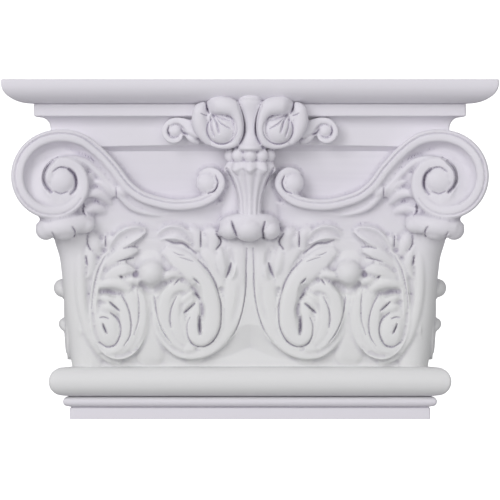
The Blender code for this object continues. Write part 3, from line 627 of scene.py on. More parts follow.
@dataclass(frozen=True)
class Volute:
    """A corner volute with its channel, eye and roll, and the scroll that runs from it to the middle."""

    eye_x: float = 152.4 * MM
    eye_z: float = 192.3 * MM
    radius: float = 41.0 * MM
    pitch: float = 22.1 * MM
    lean: float = 5.0 * MM
    half_width: float = 5.0 * MM
    turns: float = 1.42
    front: float = 86.0 * MM
    tilt: float = 0.20
    eye_radius: float = 10.6 * MM
    waist: float = 0.80
    inner_eye: tuple[float, float, float] = (34.6 * MM, 190.4 * MM, 58.5 * MM)
    inner_eye_radius: float = 9.0 * MM
    swelling: tuple[float, float, float] = (13.0 * MM, 180.0 * MM, 43.0 * MM)
    swelling_sizes: tuple[float, float, float] = (14.0 * MM, 11.5 * MM, 34.0 * MM)
    scroll: tuple[Row, ...] = (
        (40.5, 197.5, 60.5, 1.0), (37, 199.6, 62.5, 2.0), (31.2, 200.4, 64, 2.8), (25.8, 197, 65, 3.4),
        (23.8, 190, 65.5, 3.9), (29.2, 181.4, 65, 4.3), (38.5, 175.8, 64.5, 4.4), (49.4, 173.4, 64, 4.4),
        (62.2, 173, 64, 4.4), (75.9, 175.7, 64.5, 4.4), (87.9, 180, 65.5, 4.4), (97.5, 187, 66.5, 4.4),
        (109.6, 202.4, 69, 4.4), (121.5, 215.2, 72, 4.5), (136.9, 226, 76, 4.8))
    channel_outer: tuple[Row, ...] = (
        (62, 171.4, 60, 0.5), (77.7, 173.6, 61, 0.6), (90.9, 178.8, 62.8, 0.6), (99.8, 185.5, 64.6, 0.8),
        (112.7, 200.1, 67.4, 1.2), (123.8, 212.1, 70.2, 2.6), (138, 222.2, 73, 6.0), (152.4, 224.8, 75.4, 9.6),
        (166.7, 222, 78, 10.4), (177.2, 214.3, 80, 10.8), (183.1, 203.9, 81.3, 10.2), (184, 192.2, 81.6, 8.6),
        (180.2, 180.8, 81.2, 5.8), (171.3, 172.8, 79.6, 2.6), (160, 170.4, 77.8, 0.7), (150, 172.4, 76, 0.0))
    channel_inner: tuple[Row, ...] = (
        (62, 164.2, 53, 0), (80, 166.8, 57, 0), (95, 172.8, 60, 0), (104.6, 182.2, 63, 0), (115, 192.6, 65.4, 0),
        (124.4, 202.4, 68, 0), (133.6, 209.6, 70.4, 0), (143, 211.4, 72, 0), (152.4, 210.6, 74, 0),
        (160, 207.6, 76, 0), (164.6, 202, 77.2, 0), (166.4, 195, 78, 0), (165.6, 188, 78.2, 0),
        (161.6, 182.6, 77.8, 0), (156, 180, 77, 0), (150, 181, 76, 0))
    ridge: tuple[Row, ...] = (
        (152.4, 208.6, 77.4, 2.4), (143, 209.8, 74.4, 2.6), (133.4, 207.8, 71, 2.5), (124, 200.4, 67.6, 2.5),
        (114.6, 190.4, 65, 2.5), (104.6, 180.4, 63.4, 2.6), (95.4, 171.4, 60.6, 2.6), (81, 166.2, 57.6, 2.3),
        (68, 164.8, 54.4, 1.6), (58, 164.2, 51, 0.8))
    cove_upper: tuple[Row, ...] = (
        (139.5, 156, 60, 1.6), (141.6, 167, 67.4, 1.8), (138.6, 182, 68.4, 2.0), (133, 196, 67.6, 2.0),
        (125, 199, 65, 2.0), (116, 190, 63.2, 2.2), (105.4, 179, 61, 2.4), (93, 169.4, 57.8, 2.8), (78, 165.4, 56, 3.4),
        (62, 166.6, 56, 4.0), (49, 168.6, 56, 4.0), (38, 170.4, 55, 4.0), (28, 173.6, 53, 3.0), (18, 176, 52, 2.0), (8, 177, 48, 1.0))
    cove_lower: tuple[Row, ...] = (
        (122, 146, 49, 0), (117, 147, 51, 0), (112, 148, 51.6, 0), (107, 148.6, 51.8, 0), (102, 148.4, 51.8, 0),
        (97, 147.6, 51.8, 0), (91, 147, 51.8, 0), (83, 146.6, 51.8, 0), (72, 146.6, 51.8, 0), (60, 147, 51.8, 0),
        (48, 147.4, 51.6, 0), (36, 148.4, 51, 0), (26, 149.4, 49, 0), (16, 150, 47, 0), (6, 150, 45, 0))
    eye_ground: tuple[tuple[float, float], ...] = (
        (0.0, 12.0), (0.125, 13.0), (0.25, 13.6), (0.36, 15.5), (0.44, 19.5), (0.5, 21.5), (0.58, 21.0),
        (0.66, 19.0), (0.75, 16.5), (0.87, 13.5), (1.0, 12.0))
    small_leaves: tuple[tuple[Row, ...], ...] = (
        ((110.6, 188.4, 61.6, 1.0), (107.2, 185.8, 65, 3.0), (103.2, 182, 65, 3.0), (99.2, 178, 61, 1.0)),
        ((131.4, 180, 66.6, 1.4), (127, 182.2, 67.6, 3.2), (121.4, 181.6, 66, 3.8), (115.6, 177.6, 62, 3.2),
         (110, 171.4, 54.6, 1.4)),
        ((133, 168.8, 64.6, 1.4), (127, 170.4, 64.4, 3.6), (120.4, 169, 60.8, 3.6), (113, 164.2, 52.4, 1.4)),
        ((124.6, 191.6, 65.4, 1.2), (119, 190, 65.6, 3.0), (113.6, 185, 64, 2.8), (109.6, 179.6, 60.6, 1.0)))

    def outer_radius(self, turn: float) -> float:
        """Outer radius of the tape.

        Args:
            turn: Full turns from the top, outwards and down.

        Returns:
            The radius in metres.
        """
        lean = self.lean * math.sin(turn * math.tau) * max(0.0, 1.0 - turn / 1.25)
        return self.radius - self.pitch * turn + lean

    def face(self, x: float) -> float:
        """Depth of the volute's face, which comes further forward at its outer side."""
        return self.front - self.tilt * (self.eye_x + self.radius - x)

    def tape(self) -> list[Row]:
        """Rows of the volute's tape, from the top to where it runs into the eye."""
        rows = []
        for index in range(66):
            turn = self.turns * index / 65
            half_width = float(np.interp(turn, (0.5, 1.0, 1.15, 1.25, self.turns), (5.0, 4.4, 3.9, 3.2, 1.0))) * MM
            rise = float(np.interp(turn, (0.5, 1.0, 1.15, 1.25, self.turns), (0.0, 1.0, 0.6, 0.0, -6.0))) * MM
            radius = max(self.outer_radius(turn), self.eye_radius) - half_width
            x = self.eye_x + radius * math.sin(turn * math.tau)
            z = self.eye_z + radius * math.cos(turn * math.tau)
            rows.append((x, z, self.face(x) + rise, half_width))
        return rows

    def ground_ring(self, scale: float, sink: float, place: Place) -> list[tuple[float, float, float]]:
        """One ring of the nearly flush ground between the eye and the tape.

        Args:
            scale: Its size as a share of the ground's outline.
            sink: How far it lies below the volute's face.
            place: The map into the frame.

        Returns:
            The ring's points.
        """
        turns, radii = zip(*self.eye_ground)
        points = []
        for index in range(72):
            turn = index / 72
            radius = float(np.interp(turn, turns, radii)) * MM * scale
            x = self.eye_x + radius * math.sin(turn * math.tau)
            z = self.eye_z + radius * math.cos(turn * math.tau)
            points.append(place(x, z, self.face(x) - sink))
        return points

    def ring(self, scale: float, depth: float, place: Place) -> list[tuple[float, float, float]]:
        """One ring of the roll behind the tape.

        Args:
            scale: Its size as a share of the volute's outline.
            depth: Its depth at the eye.
            place: The map into the frame.

        Returns:
            The ring's points.
        """
        points = []
        for index in range(72):
            turn = index / 72
            closing = max(0.0, (turn - 0.75) / 0.25) ** 2
            radius = scale * (self.outer_radius(turn) * (1.0 - closing) + self.radius * closing)
            x = self.eye_x + radius * math.sin(turn * math.tau)
            z = self.eye_z + radius * math.cos(turn * math.tau)
            lean = (self.face(x) - self.face(self.eye_x)) * min(1.0, depth / (60.0 * MM)) ** 2
            points.append(place(x, z, depth + lean))
        return points

    def carve_into(self, casting: Casting, side: Side) -> None:
        """Adds one corner's volute, scroll and small leaves.

        Args:
            casting: The carving that it joins.
            side: Which corner.
        """
        place = BELL.front(side)
        face = self.face(self.eye_x)
        body = [(0.95, 0.5 * MM), (0.93, 8.0 * MM), (self.waist, face * 0.34), (0.84, face * 0.60),
                (0.90, face - 20.0 * MM), (0.92, face - 13.0 * MM)]
        casting.loft([self.ring(scale, depth, place) for scale, depth in smooth_rows(body, 0.004)])
        casting.valley(drawn(self.channel_outer, False), drawn(self.channel_inner, False), place)
        casting.band([*drawn(self.scroll, False), *self.tape()[2:]], Section.SLAB, place, None, 1.2 * MM, 16)
        casting.band(drawn(self.ridge, False), Section.ROUND, place, None, 1.2 * MM)
        casting.dome(place(self.eye_x + 1.2 * MM, self.eye_z + 0.6 * MM, face - 4.6 * MM),
                     (self.eye_radius + 1.4 * MM, 7.0 * MM, self.eye_radius), 40)
        ground = [(1.0, 40.0 * MM), (1.0, 3.6 * MM), (0.95, 2.2 * MM), (0.86, 1.5 * MM), (0.3, 1.2 * MM)]
        casting.loft([self.ground_ring(scale, sink, place) for scale, sink in ground])
        casting.dome(place(*self.inner_eye), (self.inner_eye_radius, 8.0 * MM, self.inner_eye_radius), 32)
        casting.dome(place(*self.swelling), self.swelling_sizes, 40)
        casting.web([(x * MM, z * MM, depth * MM, bow) for x, z, depth, bow in self.cove_upper],
                    drawn(self.cove_lower, False), place)
        for leaf in self.small_leaves:
            casting.band(drawn(leaf, False), Section.ROUND, place, None, 1.0 * MM)

    def grooves(self) -> list[Chisel]:
        """The cuts beside the eyes, the roll along the tape's edge and the scroll's creases."""
        rows = np.array([*drawn(self.scroll, False)[4:], *self.tape()[2:30]])
        tangents = np.gradient(rows[:, :2], axis=0)
        tangents /= np.linalg.norm(tangents, axis=1)[:, None]
        inset = rows[:, 3] - 3.2 * MM
        roll = np.stack([rows[:, 0] - tangents[:, 1] * inset, rows[:, 1] + tangents[:, 0] * inset], axis=1) / MM
        left = ((159.4, 182.9), (164.4, 189.3), (165.6, 195), (164.6, 200.7), (161, 206.3), (155, 210.4))
        return [Chisel(left, 1.7, 5.0), Chisel(tuple((x, z) for x, z in roll), 1.4, 1.2),
                Chisel(((145.4, 201.5), (141.6, 197.6), (139.9, 191.8), (140.6, 186.2), (143.8, 181.6)), 1.7, 6.5),
                Chisel(((158.6, 207.6), (162.8, 203.4), (165.4, 198.5), (165.9, 192.7), (164.2, 187.6),
                        (160.2, 183.4)), 1.9, 7.0),
                Chisel(((158.4, 199.6), (152.6, 203.0), (147.0, 202.0), (143.4, 198.6)), 0.9, 2.0),
                Chisel(((157.6, 183.8), (152.2, 181.8), (146.4, 183.4)), 1.0, 1.6),
                Chisel(((27.6, 196.0), (25.9, 190.5), (28.6, 184.2), (33.5, 182.0)), 1.0, 4.0),
                Chisel(((107.8, 186.6), (107.4, 178.6)), 0.9, 2.0),
                Chisel(((133.8, 173.4), (134.4, 168), (131.6, 163.4)), 1.1, 3.0)]


@dataclass(frozen=True)
class AcanthusPanel:
    """Half of the bell's leafage: a bud under its hood, between an outer and an inner acanthus spiral."""

    bud: tuple[float, float, float] = (79.6 * MM, 118.2 * MM, 10.0 * MM)
    bud_radius: float = 10.2 * MM
    corner: tuple[tuple[float, float, float], ...] = (
        (41.5, 143.4, 2.5), (50, 144.6, 5), (64, 146.4, 7.4), (82, 148.6, 9.4), (100, 150, 10.4),
        (118, 151.8, 11), (132, 153.8, 12), (141, 156.6, 14), (150, 159, 17))
    corner_radius: float = 15.0 * MM
    ground_height: float = 8.6
    return_offset: float = BELL.plinth_half_width - BELL.plinth_depth
    side_leaves: tuple[tuple[Row, ...], ...] = (
        ((10, 98, 148, 3), (14, 104, 156.6, 6.6), (22, 106, 158.4, 7.4), (31, 103, 156, 6), (36, 97, 147, 2.6)),
        ((10, 70, 146, 2.4), (15, 75, 153, 4.6), (22, 77, 154.4, 5), (30, 74, 152.4, 4), (35, 69, 146, 2)))
    ground: tuple[tuple[Row, ...], ...] = (
        ((112, 44, 0, 4), (112, 51, 4.6, 10), (111, 60, 7, 16), (110, 75, 8.6, 19), (110, 92, 8.8, 18), (109, 108, 9, 17),
         (105, 122, 9.4, 15), (100, 136, 9.4, 13), (93, 147, 7, 8)),
        ((45, 44, 0, 4), (45, 52, 5, 12), (45, 62, 7.4, 19), (46, 78, 8.8, 23), (47, 95, 9, 23), (50, 110, 9.4, 21),
         (55, 124, 9.6, 18), (60, 137, 9.4, 14), (62, 148, 7, 8)),
        ((36, 151, 9, 3), (36, 146, 11.4, 4.4), (36.6, 139, 10.6, 4)),
        ((57, 59, 9.6, 4), (50.6, 58.4, 11.2, 4.4), (44.6, 58.4, 11, 4)),
        ((79.6, 150, 2, 9), (79.6, 143, 6, 11), (79.6, 135, 9, 12), (79.6, 127, 10.4, 11), (79.6, 119, 11, 10)),
        ((80.6, 116, 11, 6), (81, 104, 10, 4.6), (81.2, 92, 9.8, 5), (80.8, 80, 9.6, 6.4), (80.4, 68, 8.8, 9),
         (80, 56, 6.6, 12), (80, 48, 3.6, 12), (80, 42, -1, 6)),
        ((134, 152, 9, 8), (133, 132, 10, 9), (132, 114, 10, 9), (130.6, 96, 9.8, 9), (128, 80, 9.4, 9),
         (122, 64, 8.4, 8), (113, 52, 6.0, 6), (104, 46, 2, 3)))
    bands: tuple[tuple[Section, tuple[Row, ...]], ...] = (
        (Section.CUP, ((106, 138.6, 10.6, 1.6), (115.6, 131.4, 12, 2.4), (121, 121.8, 12.4, 2.8),
                       (123.9, 111, 12.4, 3), (125.4, 100.4, 12.4, 3), (126.2, 89.6, 12.2, 3), (126, 79, 12, 3),
                       (124, 68.4, 11.6, 3), (120, 59.4, 11.2, 3), (114, 53.4, 10.8, 3), (106, 51, 10.6, 3),
                       (97.4, 53.4, 10.6, 2.8), (90, 60.6, 10.8, 2.6), (85.4, 70.6, 11, 2.4), (83.4, 81.6, 11.2, 2.2),
                       (83, 92.4, 11.2, 2), (84.4, 103, 11, 1.4))),
        (Section.SLAB, ((119.6, 93, 10.4, 4), (117.6, 85, 12.4, 7), (115.2, 77, 13.4, 9.4), (113.8, 68.6, 13.4, 9.6),
                        (113.2, 61.4, 12, 7), (113.4, 57.4, 9.6, 3))),
        (Section.ROUND, ((107, 92.6, 11.6, 3), (112, 95.8, 13.2, 3.8), (118, 97.8, 12.6, 3.4), (121.8, 97, 10, 1.4))),
        (Section.ROUND, ((106, 86.4, 12, 3), (111, 89, 13.6, 3.8), (117.5, 90.2, 13.2, 3.4), (121.8, 88.6, 10, 1.4))),
        (Section.SLAB, ((112, 99, 10.6, 2), (107.6, 96.4, 12.6, 4), (102.6, 90.6, 13.4, 5.2), (100, 82.5, 13.6, 5.3),
                        (99.7, 73.6, 13.6, 5.2), (101.4, 65, 13.2, 4.8), (105.8, 58, 12.4, 3.8),
                        (112.6, 55.2, 11.4, 2.8), (119.4, 58.4, 10, 1.5))),
        (Section.SLAB, ((101.5, 106, 11, 2), (97, 101, 12.8, 4.2), (94, 92, 13.2, 4.3), (92.9, 83, 13.2, 4.2),
                        (93.2, 73, 13, 4), (95.9, 64, 12.4, 3.6), (101, 57, 11.4, 3), (108, 53.4, 10.4, 1.8))),
        (Section.SLAB, ((94, 110, 10.8, 2), (89.8, 103.6, 12.4, 3.8), (87.2, 94, 12.8, 4), (86.4, 84, 12.8, 4),
                        (87.8, 73, 12.4, 3.8), (91.4, 63, 11.6, 3), (97, 56.4, 10.6, 2))),
        (Section.ROUND, ((123, 105.6, 10.6, 2), (118, 108.8, 13.4, 3.8), (110.8, 110.2, 14.8, 4.6),
                         (103.6, 108.6, 14.8, 4.6), (97, 104.4, 13.4, 3.4))),
        (Section.ROUND, ((102, 113.4, 12, 1.8), (96, 112, 14.6, 3), (89.6, 110.4, 15, 2.4))),
        (Section.SLAB, ((119.6, 111, 10.6, 1.8), (112.6, 116, 13.4, 3.8), (105.4, 119.6, 15, 4.8),
                        (99, 121, 15, 4.2), (93.6, 120, 12.6, 1.8))),
        (Section.SLAB, ((116.4, 123, 11, 1.8), (110, 129, 13.8, 4), (102.8, 133.2, 15.2, 4.8), (95.6, 135.6, 14.8, 3.6),
                        (90.4, 136.2, 12, 1.4))),
        (Section.CUP, ((114.4, 132, 10.4, 2), (108.6, 139.6, 13.8, 5.4), (101.6, 145.8, 16, 7.6),
                       (94.4, 149.4, 16, 7), (88, 151.4, 14.4, 4.6), (83.8, 152.4, 11.4, 1.6))),
        (Section.SLAB, ((68.6, 137, 10.8, 4), (60.4, 131.6, 12.8, 7.8), (51.6, 124.6, 13.8, 9.8), (42.8, 116, 14.4, 9.2),
                        (36, 107, 14.6, 7.8), (31.8, 97.5, 14.6, 7.3), (30.5, 87.5, 14.4, 7.5), (31.1, 77, 14.4, 7.8),
                        (34.4, 68.8, 14.2, 7), (40, 64.6, 14, 6), (45, 67.6, 14, 5.4), (46.4, 74, 13.8, 5.4),
                        (45.6, 81, 13.4, 5.4), (43.8, 88, 12.6, 4.6), (42.4, 94, 11.4, 3), (41.8, 99, 9.6, 1.4))),
        (Section.SLAB, ((49.6, 104.6, 11.4, 2.2), (56.4, 106.8, 13.4, 3.8), (63, 105, 14.2, 4.6), (67.4, 99.4, 14.2, 5.2),
                        (69.4, 91, 13.8, 5.6), (69.4, 81, 13.4, 5.8), (66.6, 71.5, 12.8, 5.2), (61.4, 63.6, 12, 4),
                        (54.4, 57.4, 10.8, 2.4))),
        (Section.SLAB, ((53.4, 100, 11.4, 2), (58, 97.2, 13, 3.6), (60.2, 91, 13.6, 4.4), (60.6, 83, 13.6, 4.6),
                        (59.4, 74.5, 13.2, 4.4), (56, 66.4, 12.4, 3.6), (50.4, 60.6, 11, 2.2))),
        (Section.ROUND, ((54.8, 89, 12, 2.6), (55, 80, 13, 3.2), (53.8, 72, 12.6, 3), (50.8, 64.8, 11.6, 1.8))),
        (Section.ROUND, ((56, 93.6, 12.4, 2.4), (51, 98, 13.8, 3), (46, 101.4, 12.4, 1.8))),
        (Section.ROUND, ((54, 89, 12.4, 2.2), (49, 94.4, 13.4, 2.8), (44, 98.2, 12, 1.6))),
        (Section.ROUND, ((71.4, 113, 13, 2), (66.6, 116, 15.8, 3.2), (61, 117, 15.4, 3), (56, 115, 13, 1.6))),
        (Section.CUP, ((74, 146.6, 9, 3), (67.4, 150, 12.8, 5.8), (59.6, 150.8, 14.4, 6.4), (52.8, 148, 13.6, 5.4),
                       (47, 142.6, 11, 2.6))),
        (Section.ROUND, ((50.6, 148.4, 9.6, 2.4), (47.2, 151.4, 12.2, 4.2), (43.6, 149.6, 12.8, 4.8),
                         (42, 143.6, 12.4, 4.6), (42.4, 136, 10.6, 3.6))),
        (Section.ROUND, ((36.4, 150.6, 10, 3), (33.4, 150.6, 12.2, 5), (30.2, 148.4, 13, 5.6), (29.6, 142, 12.8, 5.6),
                         (30.6, 134, 11.6, 4.6))),
        (Section.SLAB, ((40.6, 142, 9, 4), (34.6, 136, 11.4, 6.6), (29.6, 127, 12.2, 6), (26.2, 117, 11.4, 4.4),
                        (23, 107, 10.8, 3.4))),
        (Section.SLAB, ((11.8, 152, 8, 7), (11.8, 140, 10.2, 9.2), (12, 125, 11, 9.8), (12.4, 110, 11.2, 10.2),
                        (13, 96, 11.2, 10.4), (15, 84, 10.8, 9.8), (19.4, 72, 10.2, 7.8), (26.4, 61.6, 9.8, 5.6),
                        (35.4, 54.8, 9.6, 4.4), (46, 52, 9.4, 3.8), (57, 53.4, 9.2, 3.4), (66.4, 60.2, 9.2, 3),
                        (73.2, 70.5, 9.6, 2.8), (77, 84, 10, 2.4), (78.6, 98, 10, 1.8))),
        (Section.ROUND, ((24.2, 137.6, 10.8, 2), (24, 131, 13.4, 4.6), (22.8, 124, 13.6, 4.8), (20.6, 117.5, 12.6, 3.2),
                         (18.5, 112.6, 11, 1.4))),
        (Section.ROUND, ((17.6, 112, 11, 1.4), (13.8, 115.6, 13, 2), (13, 121.4, 13, 2), (14.6, 127.4, 11, 1.2))),
        (Section.ROUND, ((136.6, 147, 12, 5), (136.8, 120, 12.6, 5), (136, 100, 12.2, 5), (133, 82, 11.4, 4.6),
                         (128, 66, 10.4, 4), (120, 54, 8.6, 3))),
        (Section.ROUND, ((128.6, 151.4, 9.6, 2), (126.2, 145.4, 13.2, 5), (124, 138.6, 13.4, 4.8), (121.6, 132.6, 11, 2))),
        (Section.ROUND, ((133, 139.6, 10.8, 1.8), (129.2, 133.4, 13.2, 4), (127.6, 126, 13.4, 4), (128.8, 119, 12.2, 2.6),
                         (131.4, 113.6, 10.6, 1.2))),
        (Section.ROUND, ((119.6, 139.6, 10.2, 2.2), (114.8, 143.6, 13.2, 3.4), (111.6, 147.6, 12, 1.8))),
    )

    def blanket_into(self, casting: Casting, side: Side) -> None:
        """Adds the low ground that the leafage stands on, which dies away at its upper and lower edges.

        Args:
            casting: The carving that it joins.
            side: Which half.
        """
        place = BELL.front(side)
        rings = []
        for across in np.linspace(-2.0, 138.0, 60):
            low = float(np.interp(across, (0.0, 20.0, 45.0, 80.0, 110.0, 138.0), (58.0, 50.0, 46.0, 44.0, 46.0, 50.0)))
            high = float(np.interp(across, (0.0, 24.0, 45.0, 110.0, 138.0), (154.0, 157.0, 159.0, 159.0, 155.0)))
            ring = []
            for share in np.linspace(0.0, 1.0, 41):
                z = (low + (high - low) * share) * MM
                rise = self.ground_height * min(1.0, 5.0 * share, 9.0 * (1.0 - share))
                ring.append(place(across * MM, z, BELL.depth(z) + rise * MM))
            ring.append(place(across * MM, high * MM, BELL.depth(high * MM) - 6.0 * MM))
            ring.append(place(across * MM, low * MM, BELL.depth(low * MM) - 6.0 * MM))
            rings.append(ring)
        casting.loft(rings)

    def carve_into(self, casting: Casting, side: Side) -> None:
        """Adds one half of the leafage.

        Args:
            casting: The carving that it joins.
            side: Which half.
        """
        place = BELL.front(side)
        self.corner_into(casting, side)
        self.blanket_into(casting, side)
        for rows in self.ground:
            casting.band(drawn(rows, True), Section.PAD, place, None, 1.6 * MM)
        for section, rows in self.bands:
            casting.band(drawn(rows, True), section, place)
        x, z, height = self.bud
        casting.dome(place(x, z, BELL.depth(z) + height), (self.bud_radius,) * 3, 40)

    def corner_into(self, casting: Casting, side: Side) -> None:
        """Adds the smooth leaf stem that wraps round the bell's corner.

        Args:
            casting: The carving that it joins.
            side: Which corner.
        """
        rings = []
        for z, reach, height in smooth_rows(self.corner, 2.0):
            middle_x = reach * MM - self.corner_radius
            middle_depth = BELL.depth(z * MM) + height * MM - self.corner_radius
            ring = []
            for index in range(48):
                angle = math.tau * index / 48
                ring.append((side.value * (middle_x + self.corner_radius * math.cos(angle)),
                             BELL.wall_y - middle_depth - self.corner_radius * math.sin(angle), z * MM))
            rings.append(ring)
        casting.loft(rings)

    def return_into(self, casting: Casting, side: Side) -> None:
        """Adds the plainer half leaf of a side return.

        Args:
            casting: The carving that it joins.
            side: Which side.
        """
        place = BELL.returned(side)
        start = 88.0
        scale = (BELL.plinth_depth - 5.0 * MM) / (41.0 * MM)
        for index in (0, 1, 4, 5, 6, 7, 10, 11):
            section, rows = self.bands[index]
            moved = []
            for x, z, height, half in rows:
                across = min(max((x - start) * MM * scale, (1.5 + half) * MM), 34.0 * MM)
                moved.append((across, z * MM, BELL.depth(z * MM) + 0.62 * height * MM, half * MM))
            casting.band(moved, section, place)
        for rows in self.side_leaves:
            casting.band([(across * MM, z * MM, reach * MM - self.return_offset, half * MM)
                          for across, z, reach, half in rows], Section.ROUND, place, 30.0 * MM)

    def grooves(self) -> list[Chisel]:
        """Slits, creases and hollows cut between the folds."""
        slits = ((((118.4, 76.6), (117.0, 73), (115.4, 69.6)), 1.3, 4.5),
                 (((112.7, 94.4), (109, 91), (105.2, 87.6)), 1.1, 3.5),
                 (((40.7, 82.4), (40.6, 76), (40.2, 69.2)), 1.9, 6.0),
                 (((52.8, 86), (48.6, 89.8), (44.4, 93.4)), 1.2, 3.5),
                 (((39.6, 151), (39.7, 145), (39.6, 139.2)), 1.0, 3.5),
                 (((27, 149.6), (23.4, 143), (27, 137)), 1.0, 3.2),
                 (((15.2, 125.8), (16.8, 120), (19.2, 114.6)), 1.3, 3.6),
                 (((132.1, 131.4), (131.2, 124.6)), 1.1, 3.2),
                 (((116.4, 147.4), (116.1, 139.4)), 1.1, 3.4),
                 (((130.8, 148), (130.6, 141), (128.4, 136.6)), 0.9, 2.6),
                 (((45, 113.4), (41, 109.4)), 1.2, 3.0),
                 (((43.6, 101.6), (40.4, 97.4)), 1.2, 3.0),
                 (((60.8, 108.6), (57.2, 113)), 0.9, 2.0),
                 (((104.6, 115.4), (102.8, 114.2)), 1.3, 4.0),
                 (((121, 82), (117.6, 82.4), (114, 81.2)), 0.9, 1.8))
        creases = ((((112.2, 85.8), (106.2, 80.4), (104.2, 73.6), (105.4, 65.6), (109.4, 59.6), (114.8, 58.4),
                     (121.4, 62.2)), 1.0, 2.2),
                   (((104, 101.2), (99.2, 92.4), (96.4, 83), (95.7, 73.6), (97.4, 65.6), (101.4, 59.4)), 0.9, 1.8),
                   (((90.6, 104.6), (89.4, 92.3), (90, 79), (93.2, 68.4)), 0.8, 1.3),
                   (((41.8, 128.4), (32.8, 118.7), (28.3, 110.7), (25.4, 101.5), (23.4, 92.3), (23.3, 83.1),
                     (24.2, 74), (27.1, 67.1), (31.7, 61.4), (38.6, 58.6), (45.5, 60.2), (49.5, 65.8), (50.7, 71.7),
                     (50.1, 78.4), (48.4, 82)), 0.95, 2.4),
                   (((59.2, 98.8), (63.2, 90), (64.4, 82), (63.8, 74.4)), 0.9, 1.8),
                   (((77.2, 99.4), (75.9, 90), (73, 77.4), (68.4, 68.2), (63.8, 61.8)), 0.9, 2.2),
                   (((67.4, 144.6), (61.4, 142.2), (53.6, 141.6), (48.8, 138.2), (43.4, 133.8)), 1.3, 2.4),
                   (((2.4, 138), (3, 121), (3.2, 108.4), (4.7, 94.6), (7.6, 82), (12.2, 70.5), (18, 62.4)), 0.8, 2.0),
                   (((61.6, 134.8), (57, 132.6), (53, 132.2)), 0.7, 0.9),
                   (((57, 130.8), (51, 129), (45.6, 127.2)), 0.7, 0.9),
                   (((106.5, 127), (100, 129), (93.8, 130.2)), 0.9, 1.8),
                   (((101.6, 137.8), (95.8, 139), (89.9, 138.8)), 0.9, 1.6),
                   (((116.6, 131.6), (121.8, 121.4), (124.8, 110.6), (126.6, 100), (127.6, 89.6)), 0.7, 0.9))
        hollows = ((((45.4, 109.6), (42.6, 104), (42, 99)), 4.8, 4.2),
                   (((39.8, 94.6), (38.2, 88), (39.6, 81)), 3.0, 2.6),
                   (((16.6, 138.6), (14.8, 130), (15.6, 121.6), (18.2, 115)), 4.2, 2.8),
                   (((90.6, 108.4), (80.2, 104.4), (69.6, 108.6)), 5.4, 4.8),
                   (((119, 103.6), (113, 102.6), (107, 99.8)), 3.6, 3.4),
                   (((129.4, 112), (129.6, 96), (127, 80)), 3.6, 1.2),
                   (((8.2, 108), (9.4, 94), (13, 80)), 4.0, 1.2))
        return [Chisel(path, width, depth) for path, width, depth in (*slits, *creases, *hollows)]


@dataclass(frozen=True)
class LeafTips:
    """The overturned leaf tips below the volutes and under the stem, each of three lobes."""

    corner: tuple[tuple[float, ...], ...] = (
        (164.2, 153.0, 67, 8.4, 8.5, 8.6), (150.2, 152.8, 68, 10.2, 8.4, 9), (134.4, 156.4, 64, 9.2, 6.6, 7.6))
    corner_roll: tuple[Row, ...] = (
        (172, 153.4, 66, 3.4), (168.6, 153.8, 73.6, 6.2), (161, 154.6, 78.4, 7.6), (150, 155.6, 79.6, 8.0),
        (139, 157.4, 76, 7.2), (131, 158.8, 70.4, 5.8), (125.4, 159.4, 63, 3))
    middle: tuple[tuple[float, ...], ...] = (
        (0.9, 153.6, 64, 12.6, 10.4, 13.0), (16.6, 153.0, 60, 8.4, 7.9, 10.6), (-16.6, 152.8, 60, 7.6, 7.8, 10.6))
    middle_roll: tuple[Row, ...] = (
        (23.4, 155.4, 62, 4), (17, 157.6, 68, 6.4), (8, 158.6, 72, 7.4), (0, 159, 73.6, 7.6), (-8, 158.6, 72, 7.4),
        (-17, 157.6, 68, 6.4), (-22.4, 155.4, 62, 4))

    def carve_into(self, casting: Casting) -> None:
        """Adds all the leaf tips."""
        for side in Side:
            place = BELL.front(side)
            self.lobes(casting, self.corner, place)
            casting.band(drawn(self.corner_roll, False), Section.ROUND, place, None, 1.0 * MM, 16)
        place = BELL.front(Side.LEFT)
        self.lobes(casting, self.middle, place)
        casting.band(drawn(self.middle_roll, False), Section.ROUND, place, None, 1.0 * MM, 16)

    def lobes(self, casting: Casting, rows: Sequence[Sequence[float]], place: Place) -> None:
        """Adds the rounded lobes of one tip.

        Args:
            casting: The carving that they join.
            rows: (across, height, depth, half width, half height, half depth) of each lobe, in millimetres.
            place: The map into the frame.
        """
        for x, z, depth, wide, high, deep in rows:
            casting.dome(place(x * MM, z * MM, depth * MM), (wide * MM, deep * MM, high * MM), 40)

    def grooves(self) -> list[Chisel]:
        """The creases between the lobes."""
        corner = (((158.8, 143.4), (157.4, 147.0), (159.0, 150.4)), ((141.6, 147.6), (140.8, 151.4), (142.8, 155)))
        middle = (((-14.8, 159.4), (-11.2, 149.6), (-9.8, 147)), ((12.0, 159), (10.2, 151.2), (11.5, 145.8)))
        return [*(Chisel(path, 1.1, 3.5) for path in corner), *(Chisel(path, 1.3, 5.0, False) for path in middle)]


